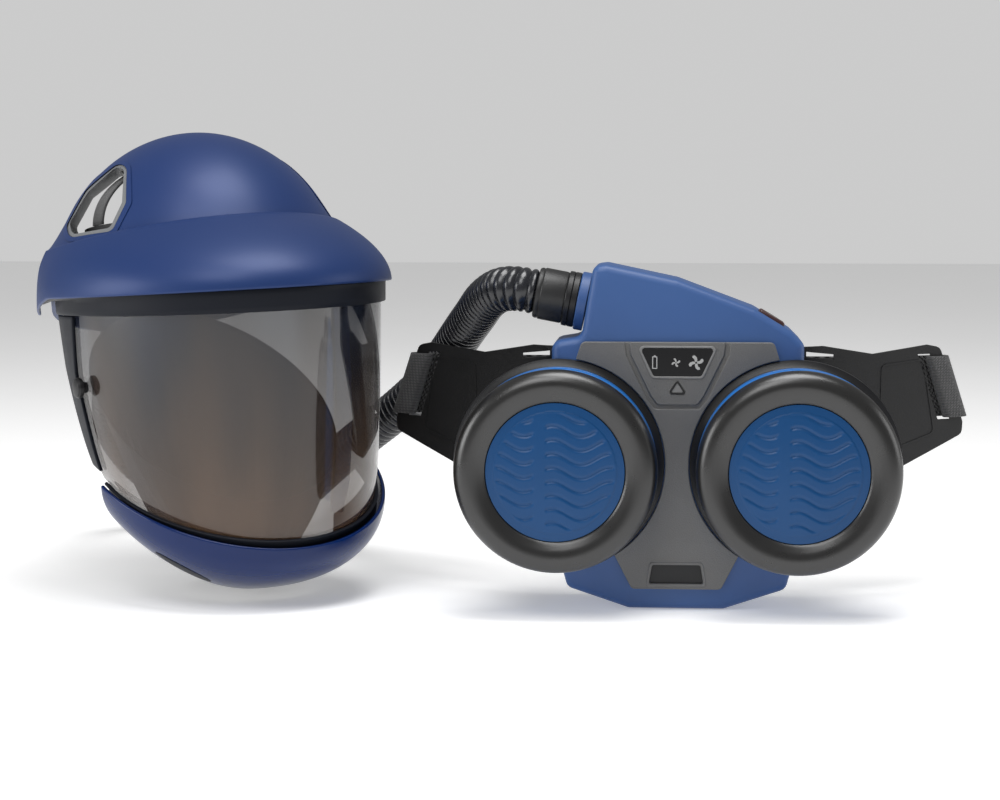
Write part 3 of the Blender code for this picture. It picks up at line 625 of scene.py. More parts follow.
def turned(profile: Sequence[Point2], matrix: Matrix, closed: bool = True,
           steps: int = 96) -> bmesh.types.BMesh:
    """A solid spun about Z from a profile of radius and height.

    Args:
        profile: The profile's points.
        matrix: Place in the world.
        closed: Whether the profile is a loop.
        steps: Steps round the axis.

    Returns:
        The solid.
    """
    shape = bmesh.new()
    points = [shape.verts.new((radius, 0.0, height)) for radius, height in profile]
    edges = [shape.edges.new(pair) for pair in zip(points, points[1:])]
    if closed:
        edges.append(shape.edges.new((points[-1], points[0])))
    bmesh.ops.spin(shape, geom=points + edges, cent=(0.0, 0.0, 0.0), axis=(0.0, 0.0, 1.0),
                   dvec=(0.0, 0.0, 0.0), angle=math.tau, steps=steps, use_merge=True)
    bmesh.ops.remove_doubles(shape, verts=shape.verts[:], dist=0.000005)
    bmesh.ops.recalc_face_normals(shape, faces=shape.faces[:])
    shape.transform(matrix)
    return shape


def arc(centre: Point2, radius: float, start: float, end: float, count: int) -> list[Point2]:
    """Points along an arc.

    Args:
        centre: Its centre.
        radius: Its radius.
        start: First angle in degrees.
        end: Last angle in degrees.
        count: Number of steps.

    Returns:
        The points.
    """
    angles = [math.radians(start + (end - start) * i / count) for i in range(count + 1)]
    return [(centre[0] + radius * math.cos(a), centre[1] + radius * math.sin(a)) for a in angles]


def rounded(points: Sequence[Point2], radius: float, steps: int = 5) -> list[Point2]:
    """Round each corner of an outline.

    Args:
        points: The outline's corners.
        radius: Radius of the corners.
        steps: Steps in each.

    Returns:
        The rounded outline.
    """
    result = []
    total = len(points)
    for i in range(total):
        before, here, after = (Vector(points[(i + k) % total]) for k in (-1, 0, 1))
        back, ahead = (before - here).normalized(), (after - here).normalized()
        half = back.angle(ahead) / 2.0
        reach = min(radius / math.tan(half), 0.45 * (before - here).length,
                    0.45 * (after - here).length)
        size = reach * math.tan(half)
        if size < 1e-5 or half > math.radians(88.0):
            result.append(tuple(here))
            continue
        centre = here + (back + ahead).normalized() * (size / math.sin(half))
        first, last = here + back * reach - centre, here + ahead * reach - centre
        for k in range(steps + 1):
            direction = first.slerp(last, k / steps).normalized()
            result.append(tuple(centre + direction * first.length))
    return result


def join(shape: bmesh.types.BMesh, other: bmesh.types.BMesh) -> None:
    """Add one shape to another.

    Args:
        shape: The shape that grows.
        other: The shape that is added; it is used up.
    """
    mesh = bpy.data.meshes.new("joining")
    other.to_mesh(mesh)
    other.free()
    shape.from_mesh(mesh)
    bpy.data.meshes.remove(mesh)


def deepen(shape: bmesh.types.BMesh, depth: float) -> None:
    """Give a shape's faces depth along Y.

    Args:
        shape: The faces, which stay as one side.
        depth: How far along Y the other side lies.
    """
    grown = bmesh.ops.extrude_face_region(shape, geom=shape.faces[:], use_keep_orig=True)
    moved = [item for item in grown["geom"] if isinstance(item, bmesh.types.BMVert)]
    bmesh.ops.translate(shape, verts=moved, vec=(0.0, depth, 0.0))


def flat_rim(outer: Sequence[Point2], inner: Sequence[Point2],
             front: float) -> bmesh.types.BMesh:
    """Ring of faces in X and Z between two outlines of the same number of points.

    Args:
        outer: Outer outline.
        inner: Inner outline.
        front: Its Y.

    Returns:
        The open ring.
    """
    shape = bmesh.new()
    edges = []
    for points in (outer, inner):
        corners = [shape.verts.new((x, front, z)) for x, z in points]
        edges += [shape.edges.new((corners[i - 1], corners[i])) for i in range(len(corners))]
    bmesh.ops.bridge_loops(shape, edges=edges)
    return shape


def slab(points: Sequence[Point2], front: float, back: float,
         matrix: Matrix = UNIT) -> bmesh.types.BMesh:
    """An outline in X and Z given depth along Y.

    Args:
        points: The outline.
        front: Y of its front.
        back: Y of its back.
        matrix: Place in the world.

    Returns:
        The solid.
    """
    shape = bmesh.new()
    shape.faces.new([shape.verts.new((x, front, z)) for x, z in points])
    deepen(shape, back - front)
    bmesh.ops.recalc_face_normals(shape, faces=shape.faces[:])
    shape.transform(matrix)
    return shape


def frame_ring(outer: Sequence[Point2], inner: Sequence[Point2], front: float,
               back: float) -> bmesh.types.BMesh:
    """A flat rim between two outlines of the same number of points.

    Args:
        outer: Outer outline.
        inner: Inner outline.
        front: Y of its front.
        back: Y of its back.

    Returns:
        The rim.
    """
    shape = flat_rim(outer, inner, front)
    deepen(shape, back - front)
    bmesh.ops.recalc_face_normals(shape, faces=shape.faces[:])
    shape.transform(UNIT)
    return shape


def carve(shape: bmesh.types.BMesh,
          cutters: Iterable[tuple[bmesh.types.BMesh, str]]) -> bpy.types.Mesh:
    """Cut solids from a closed shape, or keep what they share with it.

    Args:
        shape: The shape; it is used up.
        cutters: Pairs of solid and DIFFERENCE or INTERSECT.

    Returns:
        The carved mesh.
    """
    def holder(source: bmesh.types.BMesh) -> bpy.types.Object:
        """Object that holds a shape while it is carved."""
        mesh = bpy.data.meshes.new("carving")
        source.to_mesh(mesh)
        source.free()
        item = bpy.data.objects.new("carving", mesh)
        bpy.context.scene.collection.objects.link(item)
        return item

    target = holder(shape)
    helpers = []
    for cutter, operation in cutters:
        other = holder(cutter)
        helpers.append(other)
        step = target.modifiers.new("Cut", "BOOLEAN")
        step.solver = "EXACT"
        step.operation = operation
        step.object = other
    evaluated = target.evaluated_get(bpy.context.evaluated_depsgraph_get())
    mesh = bpy.data.meshes.new_from_object(evaluated)
    for item in [target, *helpers]:
        bpy.data.objects.remove(item, do_unlink=True)
    return mesh


def mix(low: float, high: float, share: float) -> float:
    """Value between low and high."""
    return low + (high - low) * share


def spline(points: Sequence[Vector], share: float) -> Vector:
    """Point of a smooth curve between the middle two of four points.

    Args:
        points: Four points in a row.
        share: 0 at the second point, 1 at the third.

    Returns:
        The point.
    """
    before, here, after, beyond = points
    return 0.5 * (2.0 * here + (after - before) * share
                  + (2.0 * before - 5.0 * here + 4.0 * after - beyond) * share * share
                  + (3.0 * here - before - 3.0 * after + beyond) * share ** 3)


def egg(half: float, front: float, rear: float, angle: float, centre: float,
        height: float) -> Vector:
    """Point on an egg-shaped ring, its angle 0 at the face and growing towards +X.

    Args:
        half: Half of its width.
        front: Reach forwards.
        rear: Reach backwards.
        angle: Angle in radians.
        centre: Y of its centre.
        height: Its height.

    Returns:
        The point.
    """
    reach = front if math.cos(angle) > 0.0 else rear
    return Vector((half * math.sin(angle), centre - reach * math.cos(angle), height))


# ------------------------------------------------------------------ studio
@dataclass
class Studio:
    """Camera, pale floor and soft light."""

    camera_at: Vector = field(default_factory=lambda: Vector((0.0, -1.54, 0.274)))
    look_at: Vector = field(default_factory=lambda: Vector((-0.110, -0.04, 0.134)))
    light_at: Vector = field(default_factory=lambda: Vector((-0.1, 0.0, 0.12)))
    lens: float = 87.4
    sensor: float = 36.0
    ambient: float = 0.26
    backdrop: float = 0.60
    floor_half: float = 6.0
    floor_drop: float = 0.0004
    floor_glow: float = 0.28

    def aim(self, item: bpy.types.Object, target: Vector) -> None:
        """Turn a camera or light towards a point.

        Args:
            item: The camera or light.
            target: The point.
        """
        item.rotation_euler = (target - item.location).to_track_quat("-Z", "Y").to_euler()

    def build(self) -> None:
        """Place the camera, the lights and the floor."""
        scene = bpy.context.scene
        data = bpy.data.cameras.new("camera")
        data.lens = self.lens
        data.sensor_width = self.sensor
        camera = bpy.data.objects.new("camera", data)
        camera.location = self.camera_at
        self.aim(camera, self.look_at)
        scene.collection.objects.link(camera)
        scene.camera = camera
        scene.view_settings.view_transform = "Standard"
        world = bpy.data.worlds.new("studio")
        world.use_nodes = True
        glow = world.node_tree.nodes["Background"]
        glow.inputs[0].default_value = (1.0, 1.0, 1.0, 1.0)
        seen = world.node_tree.nodes.new("ShaderNodeLightPath")
        blend = world.node_tree.nodes.new("ShaderNodeMapRange")
        blend.inputs["To Min"].default_value = self.ambient
        blend.inputs["To Max"].default_value = self.backdrop
        world.node_tree.links.new(seen.outputs["Is Camera Ray"], blend.inputs["Value"])
        world.node_tree.links.new(blend.outputs["Result"], glow.inputs[1])
        scene.world = world
        for name, place, size, power in (("key", (-0.5, -1.2, 1.7), 1.0, 15.0),
                                         ("top", (0.05, -0.15, 1.9), 1.0, 24.0),
                                         ("side", (-1.9, -0.5, 0.6), 0.9, 13.0),
                                         ("rim", (1.8, 0.2, 0.6), 1.0, 6.0)):
            light = bpy.data.lights.new(name, "AREA")
            light.size = size
            light.energy = power
            holder = bpy.data.objects.new(name, light)
            holder.location = place
            self.aim(holder, self.light_at)
            scene.collection.objects.link(holder)
        self.floor()

    def floor(self) -> None:
        """Pale floor under the respirator."""
        shape = bmesh.new()
        bmesh.ops.create_grid(shape, x_segments=1, y_segments=1, size=self.floor_half)
        shape.transform(Matrix.Translation((0.0, 0.0, -self.floor_drop)))
        mesh = bpy.data.meshes.new("floor")
        shape.to_mesh(mesh)
        shape.free()
        graph = Graph("floor_paint")
        base = graph.mix(graph.noise(3.0), (0.90, 0.90, 0.90, 1.0), (0.94, 0.94, 0.94, 1.0))
        mesh.materials.append(graph.dress(Base_Color=base, Roughness=0.75,
                                          Emission_Strength=self.floor_glow,
                                          Emission_Color=(1.0, 1.0, 1.0, 1.0)))
        floor = bpy.data.objects.new("floor", mesh)
        bpy.context.scene.collection.objects.link(floor)


# ------------------------------------------------------------------ helmet forms
@dataclass
class HelmetForm:
    """Surfaces of the helmet in its own frame, and its place in the world."""

    at: Vector = field(default_factory=lambda: Vector((-0.3050, 0.0620, 0.0123)))
    size: float = 0.9745
    base: float = -0.0035
    seal_base: float = -0.0115
    top: float = 0.297
    equator: float = 0.219
    half: float = 0.092
    front: float = 0.101
    rear: float = 0.108
    widening: float = 0.10
    centre: float = 0.018
    inlet_at: Vector = field(default_factory=lambda: Vector((0.0, 0.1180, 0.1880)))
    inlet_axis: Vector = field(default_factory=lambda: Vector((0.0, 0.80, -0.60)))

    @property
    def turn(self) -> Matrix:
        """Rotation of the helmet."""
        return Euler((0.0, math.radians(-1.8), math.radians(34.0))).to_matrix()

    @property
    def matrix(self) -> Matrix:
        """Place, turn and size of the helmet."""
        return (Matrix.Translation(self.at) @ self.turn.to_4x4()
                @ Matrix.Diagonal((self.size, self.size, self.size, 1.0)))

    @property
    def inlet_matrix(self) -> Matrix:
        """Place of the air inlet in the world, its axis along Z."""
        turn = UP.rotation_difference(self.inlet_axis)
        return self.matrix @ Matrix.Translation(self.inlet_at) @ turn.to_matrix().to_4x4()

    def dome_ring(self, angle: float, height: float, clearance: float = 0.0) -> Vector:
        """Point on the dome above its equator.

        Args:
            angle: Angle from the face.
            height: Height.
            clearance: Distance outside the dome.

        Returns:
            The point.
        """
        climb = max((height - self.equator) / (self.top - self.equator), 0.0) ** 0.8
        flare = 1.0 + self.widening * max(1.0 - 2.0 * climb, 0.0) ** 2
        wide = math.sqrt(max(1.0 - climb * climb, 0.0)) * flare
        return egg(self.half * wide + clearance, self.front * wide + clearance,
                   self.rear * wide + clearance, angle, self.centre, height)

    def dome_point(self, normal: Vector, clearance: float = 0.0) -> Vector:
        """Map a point of the unit sphere to the dome.

        Args:
            normal: Point of the sphere.
            clearance: Distance outside the dome.

        Returns:
            The point on the dome.
        """
        angle = math.atan2(normal.x, -normal.y)
        if normal.z >= 0.0:
            point = self.dome_ring(angle, mix(self.equator, self.top, normal.z ** 1.25))
            away = point - Vector((0.0, self.centre, self.equator))
            return point + away.normalized() * clearance
        point = self.dome_ring(angle, self.equator, clearance)
        shrink = 1.0 - 0.12 * normal.z ** 2
        return Vector((point.x * shrink, self.centre + (point.y - self.centre) * shrink,
                       self.equator + 0.130 * normal.z))

    def lens_ring(self, angle: float, share: float, offset: float) -> Vector:
        """Point on the lens.

        Args:
            angle: Angle from the face.
            share: 0 at the bottom edge, 1 at the top.
            offset: Distance outside the lens.

        Returns:
            The point.
        """
        low = 0.0320 + 0.0360 * (1.0 - math.cos(angle))
        height = mix(low, 0.1850 + 0.0060 * math.cos(angle), share)
        wide = max(share, 0.0) ** 0.45
        return egg(mix(0.0900, 0.1055, wide) + offset, mix(0.0970, 0.1290, wide) + offset,
                   0.1150 + offset, angle, mix(-0.030, -0.011, wide), height)

    def lens_end(self, share: float) -> float:
        """Angle at which the lens ends at its sides."""
        return math.radians(mix(88.0, 101.0, min(max(share, 0.0) * 1.6, 1.0)))

    def window_bar(self, side: float, grow: float = 0.0) -> bmesh.types.BMesh:
        """Slanting bar that opens a side window.

        Args:
            side: -1 for left, 1 for right.
            grow: How much wider than the opening.

        Returns:
            The bar, in the helmet's frame.
        """
        corners = [(-0.0540, 0.2800), (-0.0810, 0.2590), (-0.0940, 0.2380), (-0.0915, 0.2290),
                   (-0.0640, 0.2310), (-0.0555, 0.2480)]
        middle = Vector((-0.074, 0.250))
        spread = [tuple(Vector(c) + (Vector(c) - middle).normalized() * grow) for c in corners]
        bar = slab(rounded(spread, 0.005 + grow * 0.5, 6), -0.15, 0.18, Matrix())
        slope = Matrix.Rotation(math.radians(-5.0), 4, "X")
        turn = Matrix.Rotation(math.radians(-23.5), 4, "Z")
        shift = Matrix.Translation((0.0, 0.0, 0.255))
        bar.transform(turn @ shift @ slope @ shift.inverted())
        if side > 0.0:
            bar.transform(Matrix.Diagonal((-1.0, 1.0, 1.0, 1.0)))
            bmesh.ops.recalc_face_normals(bar, faces=bar.faces[:])
        return bar


# ------------------------------------------------------------------ hose
@dataclass
class BreathingHose:
    """Corrugated hose from the fan unit's outlet to the nape of the helmet."""

    form: HelmetForm
    diameter: float = 0.029
    pitch: float = 0.0052
    groove: float = 0.0019
    rings_per_rib: int = 6
    sides: int = 36
    fine_steps: int = 24
    unit_cuff_end: float = 0.0340
    helmet_cuff_end: float = 0.0700
    outlet: Vector = field(default_factory=lambda: Vector((-0.0567, 0.0080, 0.1885)))
    tilt: float = math.radians(10.8)

    def outlet_direction(self) -> Vector:
        """Unit vector out of the hose outlet."""
        return Vector((-math.cos(self.tilt), 0.0, math.sin(self.tilt)))

    def route(self) -> list[Vector]:
        """Route points of the centreline.

        Returns:
            The points, from the unit's cuff to the helmet's cuff.
        """
        reach = self.outlet_direction()
        start = self.outlet + reach * (self.unit_cuff_end + GAP) + Vector((0.0, 0.0, UNIT_LIFT))
        leave = self.form.turn @ self.form.inlet_axis
        inlet_end = self.form.inlet_at + self.form.inlet_axis * self.helmet_cuff_end
        end = self.form.at + self.form.turn @ inlet_end * self.form.size + leave * GAP
        middle = ((-0.1066, 0.0115, 0.2010), (-0.1139, 0.0185, 0.1996), (-0.1203, 0.0290, 0.1960),
                  (-0.1265, 0.0415, 0.1905), (-0.1335, 0.0600, 0.1815), (-0.1430, 0.0820, 0.1695),
                  (-0.1550, 0.1090, 0.1535), (-0.1690, 0.1350, 0.1350),
                  (-0.1850, 0.1520, 0.1190), (-0.2030, 0.1690, 0.1035), (-0.2225, 0.1880, 0.0880),
                  (-0.2430, 0.2100, 0.0710), (-0.2640, 0.2360, 0.0520), (-0.2860, 0.2630, 0.0330),
                  (-0.3110, 0.2860, 0.0200), (-0.3420, 0.3030, 0.0170), (-0.3740, 0.3090, 0.0240),
                  (-0.4010, 0.2990, 0.0400), (-0.4190, 0.2770, 0.0640), (-0.4240, 0.2500, 0.0930))
        return ([start, start + reach * 0.008] + [Vector(point) for point in middle]
                + [end + leave * 0.0160, end])

    def smooth(self, points: Sequence[Vector], spacing: float) -> list[Vector]:
        """Points at even spacing on a smooth curve.

        Args:
            points: Route points.
            spacing: Distance between the results.

        Returns:
            The points.
        """
        ends = [points[0] * 2.0 - points[1], *points, points[-1] * 2.0 - points[-2]]
        fine = []
        for i in range(1, len(ends) - 2):
            fine += [spline(ends[i - 1:i + 3], k / self.fine_steps)
                     for k in range(self.fine_steps)]
        fine.append(points[-1].copy())
        total = sum((b - a).length for a, b in zip(fine, fine[1:]))
        count = max(int(round(total / spacing)), 2)
        even = [fine[0]]
        walked = 0.0
        for a, b in zip(fine, fine[1:]):
            step = (b - a).length
            while step > 0.0 and len(even) < count and walked + step >= total / count * len(even):
                even.append(a.lerp(b, (total / count * len(even) - walked) / step))
            walked += step
        even.append(fine[-1])
        return even

    def build(self) -> None:
        """Make the hose, its cuffs, the collar and the bayonet ring."""
        path = self.smooth(self.route(), self.pitch / self.rings_per_rib)
        shape = bmesh.new()
        ring = bmesh.ops.create_circle(shape, segments=self.sides, radius=1.0)["verts"]
        unit_circle = [vertex.co.copy() for vertex in ring]
        edges = list({edge for vertex in ring for edge in vertex.link_edges})
        heading = path[1] - path[0]
        turn = UP.rotation_difference(heading)
        order = list(ring)
        first = list(order)
        for index, point in enumerate(path):
            if index > 0:
                ahead = path[min(index + 1, len(path) - 1)] - path[index - 1]
                turn = heading.rotation_difference(ahead) @ turn
                heading = ahead
                grown = bmesh.ops.extrude_edge_only(shape, edges=edges)["geom"]
                edges = [item for item in grown if isinstance(item, bmesh.types.BMEdge)]
                fresh = [item for item in grown if isinstance(item, bmesh.types.BMVert)]
                links = {}
                for vertex in fresh:
                    for edge in vertex.link_edges:
                        other = edge.other_vert(vertex)
                        if other in set(order):
                            links[other] = vertex
                order = [links[vertex] for vertex in order]
            rib = abs(math.sin(math.pi * index / self.rings_per_rib)) ** 0.7
            radius = self.diameter / 2.0 - self.groove * (1.0 - rib)
            for vertex, spot in zip(order, unit_circle):
                vertex.co = point + turn @ (spot * radius)
        shape.faces.new(list(reversed(first)))
        shape.faces.new(order)
        bmesh.ops.recalc_face_normals(shape, faces=shape.faces[:])
        hose = publish(shape, "breathing_hose_ribbed", "unit", Finish.HOSE_RUBBER,
                       ("breathing_hose",), 60.0)
        length = sum((b - a).length for a, b in zip(path, path[1:]))
        cuffs = self.cuffs()
        [tuple(point) for point in path[::self.rings_per_rib] + [path[-1]]]
        LOG.info("hose length %.3f m", length)

    def cuffs(self) -> list[bpy.types.Object]:
        """Cuffs at both ends, with the collar and bayonet ring at the unit.

        Returns:
            The two cuffs.
        """
        reach = self.outlet_direction()
        turn = UP.rotation_difference(reach).to_matrix().to_4x4()
        matrix = UNIT @ Matrix.Translation(self.outlet) @ turn
        collar = [(0.0187, 0.0064), (0.0181, 0.0070), (0.0130, 0.0070), (0.0130, 0.0012),
                  (0.0187, 0.0012)]
        publish(turned(collar, matrix), "outlet_collar_finished", "unit", Finish.CASE_BLUE,
                ("outlet_collar",))
        ring = [(0.0172, 0.0150), (0.0176, 0.0145), (0.0176, 0.0118), (0.0171, 0.0114),
                (0.0176, 0.0110), (0.0176, 0.0078), (0.0172, 0.0073), (0.0125, 0.0073),
                (0.0125, 0.0150)]
        publish(turned(ring, matrix), "bayonet_ring_finished", "bayonet_ring", Finish.BLACK,
                ("bayonet_ring",))
        cuff = [(0.0152, self.unit_cuff_end), (0.0160, 0.0334), (0.0163, 0.0322), (0.0160, 0.0310),
                (0.0166, 0.0302), (0.0166, 0.0165), (0.0162, 0.0153), (0.0125, 0.0153),
                (0.0125, self.unit_cuff_end)]
        near = publish(turned(cuff, matrix), "hose_cuff_unit_finished", "unit",
                       Finish.CUFF_RUBBER, ("hose_cuff_unit",))
        cuff = [(0.0160, self.helmet_cuff_end), (0.0170, 0.0692), (0.0172, 0.0680), (0.0168, 0.0668),
                (0.0172, 0.0655), (0.0172, 0.0415), (0.0166, 0.0403), (0.0125, 0.0403),
                (0.0125, self.helmet_cuff_end)]
        far = publish(turned(cuff, self.form.inlet_matrix), "hose_cuff_helmet_finished", "unit",
                      Finish.CUFF_RUBBER, ("hose_cuff_helmet",))
        return [near, far]


# ------------------------------------------------------------------ fan unit
@dataclass
class FanUnit:
    """Blower casing with its plate, display, buttons and inner works."""

    plate_front: float = CASE_FRONT - 0.0045
    cutout: float = 0.0672
    window: tuple[Point2, ...] = ((-0.0150, 0.1440), (0.0150, 0.1440), (0.0235, 0.1620),
                                  (-0.0235, 0.1620))
    lamp: tuple[Point2, ...] = ((-0.0055, 0.1330), (0.0055, 0.1330), (0.0, 0.1415))

    def build(self) -> None:
        """Make every piece of the unit."""
        self.casing()
        self.plate()
        self.display()
        self.inner_works()

    def casing(self) -> None:
        """Both casing halves, battery, catch and power button."""
        for node in ("front_housing", "rear_housing"):
            refined(node, "unit", Finish.CASE_BLUE, 0.0005, 42.0)
        refined("power_button", "power_button", Finish.BUTTON_RED, 0.0005)
        refined("battery_catch", "catch", Finish.WING_BLACK, 0.0004)
        refined("battery_pack", "battery", Finish.WING_BLACK, 0.0)
        self.button_mark()

    def button_mark(self) -> None:
        """Round dimple ring on the power button."""
        slope = math.atan2(0.014, 0.023)
        matrix = (UNIT @ Matrix.Translation((0.0585, -0.004, 0.1793))
                  @ Matrix.Rotation(slope, 4, "Y") @ Matrix.Translation((0.0, 0.0, 0.0021)))
        ring = arc((0.0050, 0.0), 0.0004, 0.0, 324.0, 9)
        publish(turned(ring, matrix, True, 48), "power_button_ring", "power_button",
                Finish.RIM_GREY)

    def plate(self) -> None:
        """Grey front plate with its groove, and the name badge in its rim."""
        right = [(0.0280, 0.0095), (0.0385, 0.0300), (0.0600, 0.0600), (0.0660, 0.1200),
                 (0.0640, 0.1530), (0.0600, 0.1655)]
        outline = rounded(right + [(-x, z) for x, z in reversed(right)], 0.0035, 6)
        blank = slab(outline, self.plate_front, CASE_FRONT - GAP)
        cutters = []
        for side in (-1.0, 1.0):
            round_cutter = bmesh.new()
            bmesh.ops.create_cone(round_cutter, cap_ends=True, segments=160, radius1=self.cutout,
                                  radius2=self.cutout, depth=0.03)
            seat = Matrix.Translation((side * FILTER_X, CASE_FRONT, FILTER_Z))
            round_cutter.transform(UNIT @ seat @ Matrix.Rotation(math.pi / 2.0, 4, "X"))
            cutters.append((round_cutter, "DIFFERENCE"))
        cutters.append((self.groove(), "DIFFERENCE"))
        badge = [(-0.0170, 0.0130), (0.0170, 0.0130), (0.0150, 0.0250), (-0.0150, 0.0250)]
        for corners, deep in ((self.window, 0.0026), (self.lamp, 0.0012), (badge, 0.0030)):
            cutters.append((slab(rounded(corners, 0.0012, 4), self.plate_front - 0.004,
                                 self.plate_front + deep), "DIFFERENCE"))
        mesh = carve(blank, cutters)
        piece = publish(mesh, "front_plate_finished", "unit", Finish.PLATE_GREY,
                        ("front_plate",), 30.0)
        add_bevel(piece, 0.0007, 3, 50.0)
        name_plate = publish(slab(rounded(badge, 0.0012, 4), self.plate_front + 0.0022,
                                  self.plate_front + 0.0029), "name_badge_finished", "unit",
                             Finish.BLACK, ("name_badge",))
        add_bevel(name_plate, 0.0002, 2)
        hood = frame_ring(rounded([(-0.0192, 0.0110), (0.0192, 0.0110), (0.0168, 0.0266),
                                   (-0.0168, 0.0266)], 0.0025, 6),
                          rounded([(-0.0172, 0.0128), (0.0172, 0.0128), (0.0151, 0.0250),
                                   (-0.0151, 0.0250)], 0.0015, 6),
                          self.plate_front - 0.0006, self.plate_front + 0.001)
        rim = publish(hood, "badge_rim", "unit", Finish.PLATE_GREY)
        add_bevel(rim, 0.0004, 2)

    def groove(self) -> bmesh.types.BMesh:
        """Cutter for the U-shaped groove around the display.

        Returns:
            The cutter.
        """
        outer = [(-0.0140, 0.1235), (0.0140, 0.1235), (0.0190, 0.1300), (0.0320, 0.1570),
                 (0.0335, 0.1700), (-0.0335, 0.1700), (-0.0320, 0.1570), (-0.0190, 0.1300)]
        inner = [(-0.0125, 0.1262), (0.0125, 0.1262), (0.0166, 0.1318), (0.0290, 0.1572),
                 (0.0305, 0.1700), (-0.0305, 0.1700), (-0.0290, 0.1572), (-0.0166, 0.1318)]
        return frame_ring(rounded(outer, 0.003, 5), rounded(inner, 0.003, 5),
                          self.plate_front - 0.003, self.plate_front + 0.0016)

    def display(self) -> None:
        """Display window with its rim, pictograms and the warning lamp."""
        front = self.plate_front - 0.0004
        pane = publish(slab(rounded(self.window, 0.0020, 6), front, front + 0.0020),
                       "display_window_finished", "unit", Finish.WINDOW_BLACK,
                       ("display_window",))
        add_bevel(pane, 0.0002, 2)
        outer = [(-0.0160, 0.1428), (0.0160, 0.1428), (0.0252, 0.1632), (-0.0252, 0.1632)]
        inner = [(-0.0149, 0.1441), (0.0149, 0.1441), (0.0233, 0.1619), (-0.0233, 0.1619)]
        rim = publish(frame_ring(rounded(outer, 0.0026, 6), rounded(inner, 0.0020, 6),
                                 front - 0.0003, front + 0.0012), "display_rim", "unit",
                      Finish.RIM_GREY)
        add_bevel(rim, 0.0003, 2)
        triangle = [(-0.0055, 0.1330), (0.0055, 0.1330), (0.0, 0.1420)]
        small = [(-0.0038, 0.1340), (0.0038, 0.1340), (0.0, 0.1401)]
        publish(slab(rounded(triangle, 0.0009, 4), self.plate_front - 0.00005,
                     self.plate_front + 0.0008), "warning_lamp_finished", "unit",
                Finish.RIM_GREY, ("warning_lamp",))
        publish(frame_ring(rounded(triangle, 0.0009, 4), rounded(small, 0.0006, 4),
                           self.plate_front - 0.0004, self.plate_front + 0.0002),
                "warning_lamp_rim", "unit", Finish.BLACK)
        self.pictograms(front - 0.00018)

    def pictograms(self, front: float) -> None:
        """Battery and fan pictograms on the display.

        Args:
            front: Y of their faces.
        """
        case = [(-0.0158, 0.1488), (-0.0126, 0.1488), (-0.0126, 0.1566), (-0.0158, 0.1566)]
        core = [(-0.0152, 0.1494), (-0.0132, 0.1494), (-0.0132, 0.1560), (-0.0152, 0.1560)]
        publish(frame_ring(rounded(case, 0.0004, 3), rounded(core, 0.0002, 3), front,
                           front + 0.0003), "battery_pictogram", "unit", Finish.ICON_GREY)
        publish(slab([(-0.0148, 0.1566), (-0.0136, 0.1566), (-0.0136, 0.1572),
                      (-0.0148, 0.1572)], front, front + 0.0003), "battery_pictogram_tip",
                "unit", Finish.ICON_GREY)
        lobe = [(0.12, -0.10), (0.42, -0.16), (0.78, -0.05), (1.0, 0.22), (0.92, 0.52),
                (0.66, 0.50), (0.52, 0.26), (0.14, 0.16)]
        for name, x, size in (("small", -0.0010, 0.0027), ("large", 0.0116, 0.0046)):
            shape = bmesh.new()
            for quarter in range(4):
                start = math.tau * quarter / 4.0
                points = []
                for u, v in lobe:
                    turn = Vector((u, v))
                    turn.rotate(Matrix.Rotation(start, 2))
                    points.append((x + turn.x * size, 0.1528 + turn.y * size))
                join(shape, slab(points, front, front + 0.0003))
            publish(shape, "fan_pictogram_" + name, "unit", Finish.ICON_GREY)

    def inner_works(self) -> None:
        """Finish the pieces inside the casing."""
        for node, body, finish, slot in (
                ("fan_scroll", "unit", Finish.WING_BLACK, "matt_black"),
                ("impeller", "fan_wheel", Finish.WING_BLACK, "matt_black"),
                ("fan_motor", "unit", Finish.STEEL, "steel"),
                ("motor_shaft", "fan_wheel", Finish.STEEL, "steel"),
                ("circuit_board", "unit", Finish.BOARD_GREEN, "board_green")):
            refined(node, body, finish, 0.0)


